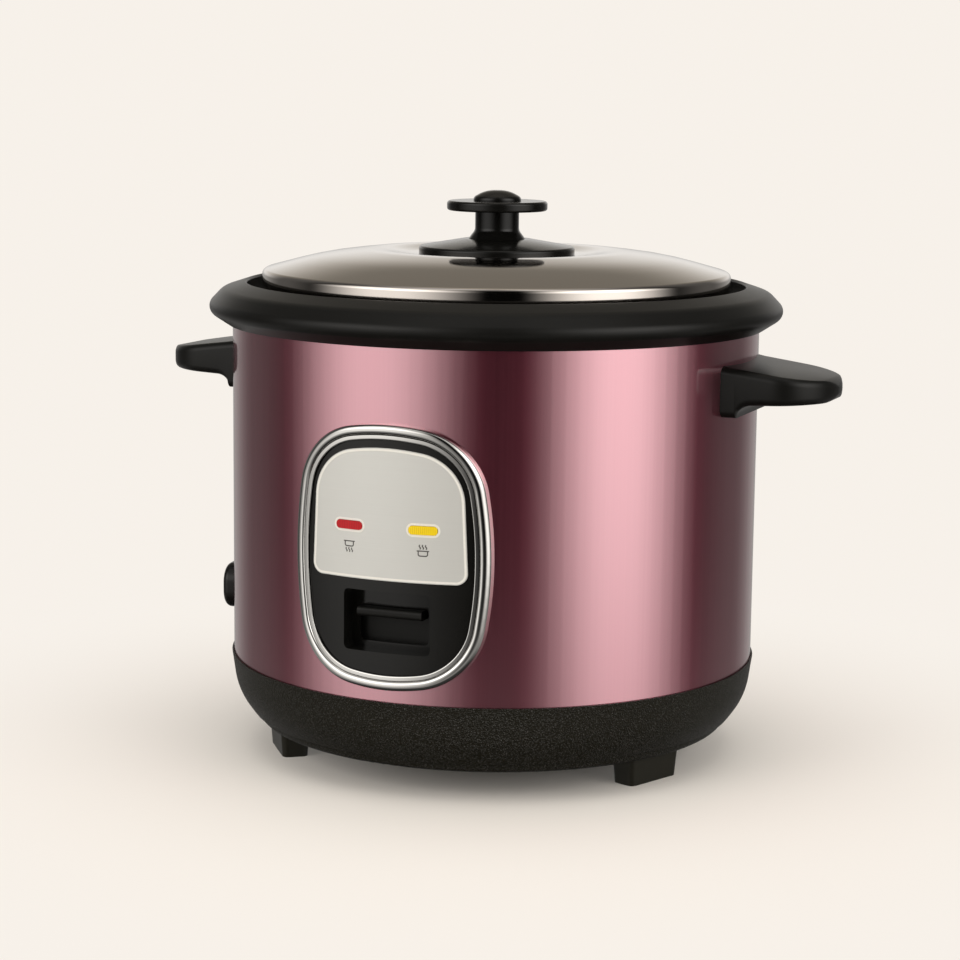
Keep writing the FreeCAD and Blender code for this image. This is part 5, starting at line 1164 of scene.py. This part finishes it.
class COOKER_OT_stage(bpy.types.Operator):
    """Set the floor, the background, the lamps and the camera"""
    bl_idname = "rice_cooker.stage"
    bl_label = "Stage"

    def execute(self, context):
        context.scene.view_settings.view_transform = "Standard"
        self.world()
        self.floor()
        self.lamps()
        self.camera()
        return {"FINISHED"}

    def world(self):
        """Plain cream for the camera, dim light from all round, and a studio for reflections."""
        stage, colours = settings().stage, settings().colours
        world = bpy.data.worlds.new("studio")
        world.use_nodes = True
        bpy.context.scene.world = world
        shader = Shader(world.node_tree)
        mirrored = self.studio(shader)
        look = shader.background(colours.backdrop, strength=1.0)
        light = shader.background(colours.ambient, stage.ambient)
        lit = shader.blend(shader.ray("Glossy"), light, mirrored)
        clear = shader.ray("Camera") + shader.ray("Transmission")
        mixed = shader.blend(clear.clamped(), lit, look)
        shader.add("ShaderNodeOutputWorld", {}, {"Surface": mixed})

    def studio(self, shader):
        """A room with two tall light panels, pale walls and a table, as it shows in reflections."""
        stage, colours = settings().stage, settings().colours
        facing = shader.add("ShaderNodeTexCoord", {}, {}, "Generated")
        x, y, z = (shader.add("ShaderNodeSeparateXYZ", {}, {0: facing}, i) for i in range(3))
        sine, cosine = math.sin(stage.camera_turn), math.cos(stage.camera_turn)
        turn = shader.add("ShaderNodeMath", {"operation": "ARCTAN2"},
                          {0: x * cosine + y * sine, 1: x * sine - y * cosine})
        panels = 0.0
        for middle, half, soft, strength in (
                (stage.left_turn, stage.left_half, stage.left_soft, stage.left_glow),
                (stage.right_turn, stage.right_half, stage.right_soft, stage.right_glow)):
            rise = shader.between(turn, (middle - half - soft, middle - half + soft))
            fall = shader.between(turn, (middle + half - soft, middle + half + soft))
            panels = rise * (1.0 - fall) * strength + panels
        panels = panels * (1.0 - shader.between(z, stage.panel_foot) * stage.panel_fade)
        panels = panels * (1.0 + shader.between(z, stage.panel_middle))
        panels = panels * (1.0 - shader.between(z, stage.panel_head) * stage.panel_fade)
        away = shader.add("ShaderNodeMath", {"operation": "ABSOLUTE"}, {0: turn})
        side = shader.between(away, stage.side_span) * stage.side_glow + stage.dark
        back = shader.between(away, stage.back_span)
        upper = shader.between(z, stage.upper_span)
        wall = stage.back_foot + shader.between(z, stage.foot_span) * stage.back_rise
        wall = wall * (1.0 - upper * stage.back_fade)
        room = (panels + side) * (1.0 - back) + back * wall
        table = shader.between(z, stage.table_span)
        shade = shader.between(z, stage.shade_span)
        ceiling = shader.between(z, stage.ceiling_span) * stage.ceiling_glow
        glow = room * (1.0 - table) + table * (stage.table_glow - shade * stage.table_shade) + ceiling
        unlit = shader.background((0.0, 0.0, 0.0), strength=0.0)
        lit_up = shader.background(colours.softbox, stage.brightest)
        warm_up = shader.background(colours.upper_wall, stage.brightest)
        tinted = shader.blend(back * upper, lit_up, warm_up)
        return shader.blend((glow / stage.brightest).clamped(), unlit, tinted)

    def floor(self):
        """A wide floor: plain paper near the object, melting into the background far off."""
        stage = settings().stage
        half = stage.floor_half
        verts = [(-half, -half, 0.0), (half, -half, 0.0), (half, half, 0.0), (-half, half, 0.0)]
        mesh = bpy.data.meshes.new("floor")
        mesh.from_pydata(verts, [], [(0, 1, 2, 3)])
        material, shader = new_material("floor_paper")
        tone = rgba(settings().colours.backdrop)
        x, y, _ = shader.axes()
        aside = x - stage.paper_shift * math.sin(stage.camera_turn)
        ahead = y + stage.paper_shift * math.cos(stage.camera_turn)
        reach = (aside * aside + ahead * ahead) ** 0.5
        far = shader.between(reach, stage.paper_span) * shader.ray("Camera")
        paper = shader.add("ShaderNodeBsdfDiffuse", {}, {"Color": tone})
        glow = shader.add("ShaderNodeEmission", {}, {"Color": tone, "Strength": 1.0})
        mixed = shader.blend(far, paper, glow)
        shader.add("ShaderNodeOutputMaterial", {}, {"Surface": mixed})
        mesh.materials.append(material)
        floor = bpy.data.objects.new("floor", mesh)
        bpy.context.scene.collection.objects.link(floor)
        floor.visible_glossy = False

    def lamp(self, name, turn, reach, height, sides, power):
        """A softbox that points at the object and doesn't show in reflections."""
        light = bpy.data.lights.new(name, "AREA")
        light.shape = "RECTANGLE"
        light.size, light.size_y = sides
        light.energy = power
        light.color = settings().colours.softbox
        lamp = bpy.data.objects.new(name, light)
        lamp.visible_glossy = False
        bpy.context.scene.collection.objects.link(lamp)
        lamp.location = (reach * math.sin(turn), -reach * math.cos(turn), height)
        lamp.rotation_mode = "QUATERNION"
        aim = Vector((0.0, 0.0, settings().stage.aim_height))
        lamp.rotation_quaternion = (lamp.location - aim).to_track_quat("Z", "Y")

    def lamps(self):
        """A tall softbox on either side of the camera and a square one above the object."""
        stage = settings().stage
        turn = stage.camera_turn
        for name, aside, wide, power in (
                ("left_softbox", stage.left_turn, stage.left_wide, stage.left_power),
                ("right_softbox", stage.right_turn, stage.right_wide, stage.right_power)):
            sides = (wide, stage.side_tall)
            self.lamp(name, turn + aside, stage.side_reach, stage.side_height, sides, power)
        sides = (stage.top_wide, stage.top_wide)
        self.lamp("top_softbox", turn, stage.top_reach, stage.top_height, sides, stage.top_power)

    def camera(self):
        """A camera turned round the object, and aimed by its yaw, pitch and roll."""
        stage = settings().stage
        camera = bpy.data.objects.new("camera", bpy.data.cameras.new("camera"))
        bpy.context.scene.collection.objects.link(camera)
        camera.data.lens = stage.camera_lens
        camera.data.sensor_width = SENSOR_WIDTH
        yaw, pitch, roll = stage.camera_yaw, stage.camera_pitch, stage.camera_roll
        forward = Vector((math.sin(yaw) * math.cos(pitch), math.cos(yaw) * math.cos(pitch), -math.sin(pitch)))
        level = Vector((math.cos(yaw), -math.sin(yaw), 0.0))
        upright = level.cross(forward)
        right = level * math.cos(roll) + upright * math.sin(roll)
        up = upright * math.cos(roll) - level * math.sin(roll)
        aim = Matrix((right, up, -forward)).transposed().to_4x4()
        round_object = Matrix.Rotation(stage.camera_turn, 4, "Z")
        spot = Matrix.Translation((0.0, -stage.camera_reach, stage.camera_height))
        camera.matrix_world = round_object @ spot @ aim
        bpy.context.scene.camera = camera


OPERATORS = (
    COOKER_OT_stage, COOKER_OT_finishes, COOKER_OT_housing, COOKER_OT_cavity, COOKER_OT_ring,
    COOKER_OT_lid, COOKER_OT_lid_knob, COOKER_OT_handles, COOKER_OT_bezel, COOKER_OT_print, COOKER_OT_pot)


class COOKER_PT_sidebar(bpy.types.Panel):
    """Lists the cooker's operators and settings"""
    bl_idname = "COOKER_PT_sidebar"
    bl_label = "Rice Cooker"
    bl_space_type = "VIEW_3D"
    bl_region_type = "UI"
    bl_category = "Rice Cooker"

    def draw(self, context):
        for operator in OPERATORS:
            self.layout.operator(operator.bl_idname)
        for group in (settings().colours, settings().sizes, settings().stage):
            box = self.layout.box()
            for name in group.__annotations__:
                box.prop(group, name)


CLASSES = (CookerColours, CookerSizes, CookerStage, CookerSettings, *OPERATORS, COOKER_PT_sidebar)


def register():
    for kind in CLASSES:
        bpy.utils.register_class(kind)
    bpy.types.Scene.rice_cooker = PointerProperty(type=CookerSettings)


def unregister():
    del bpy.types.Scene.rice_cooker
    for kind in reversed(CLASSES):
        bpy.utils.unregister_class(kind)


def main():
    register()
    for operator in OPERATORS:
        group, name = operator.bl_idname.split(".")
        getattr(getattr(bpy.ops, group), name)()


if __name__ == "__main__":
    main()
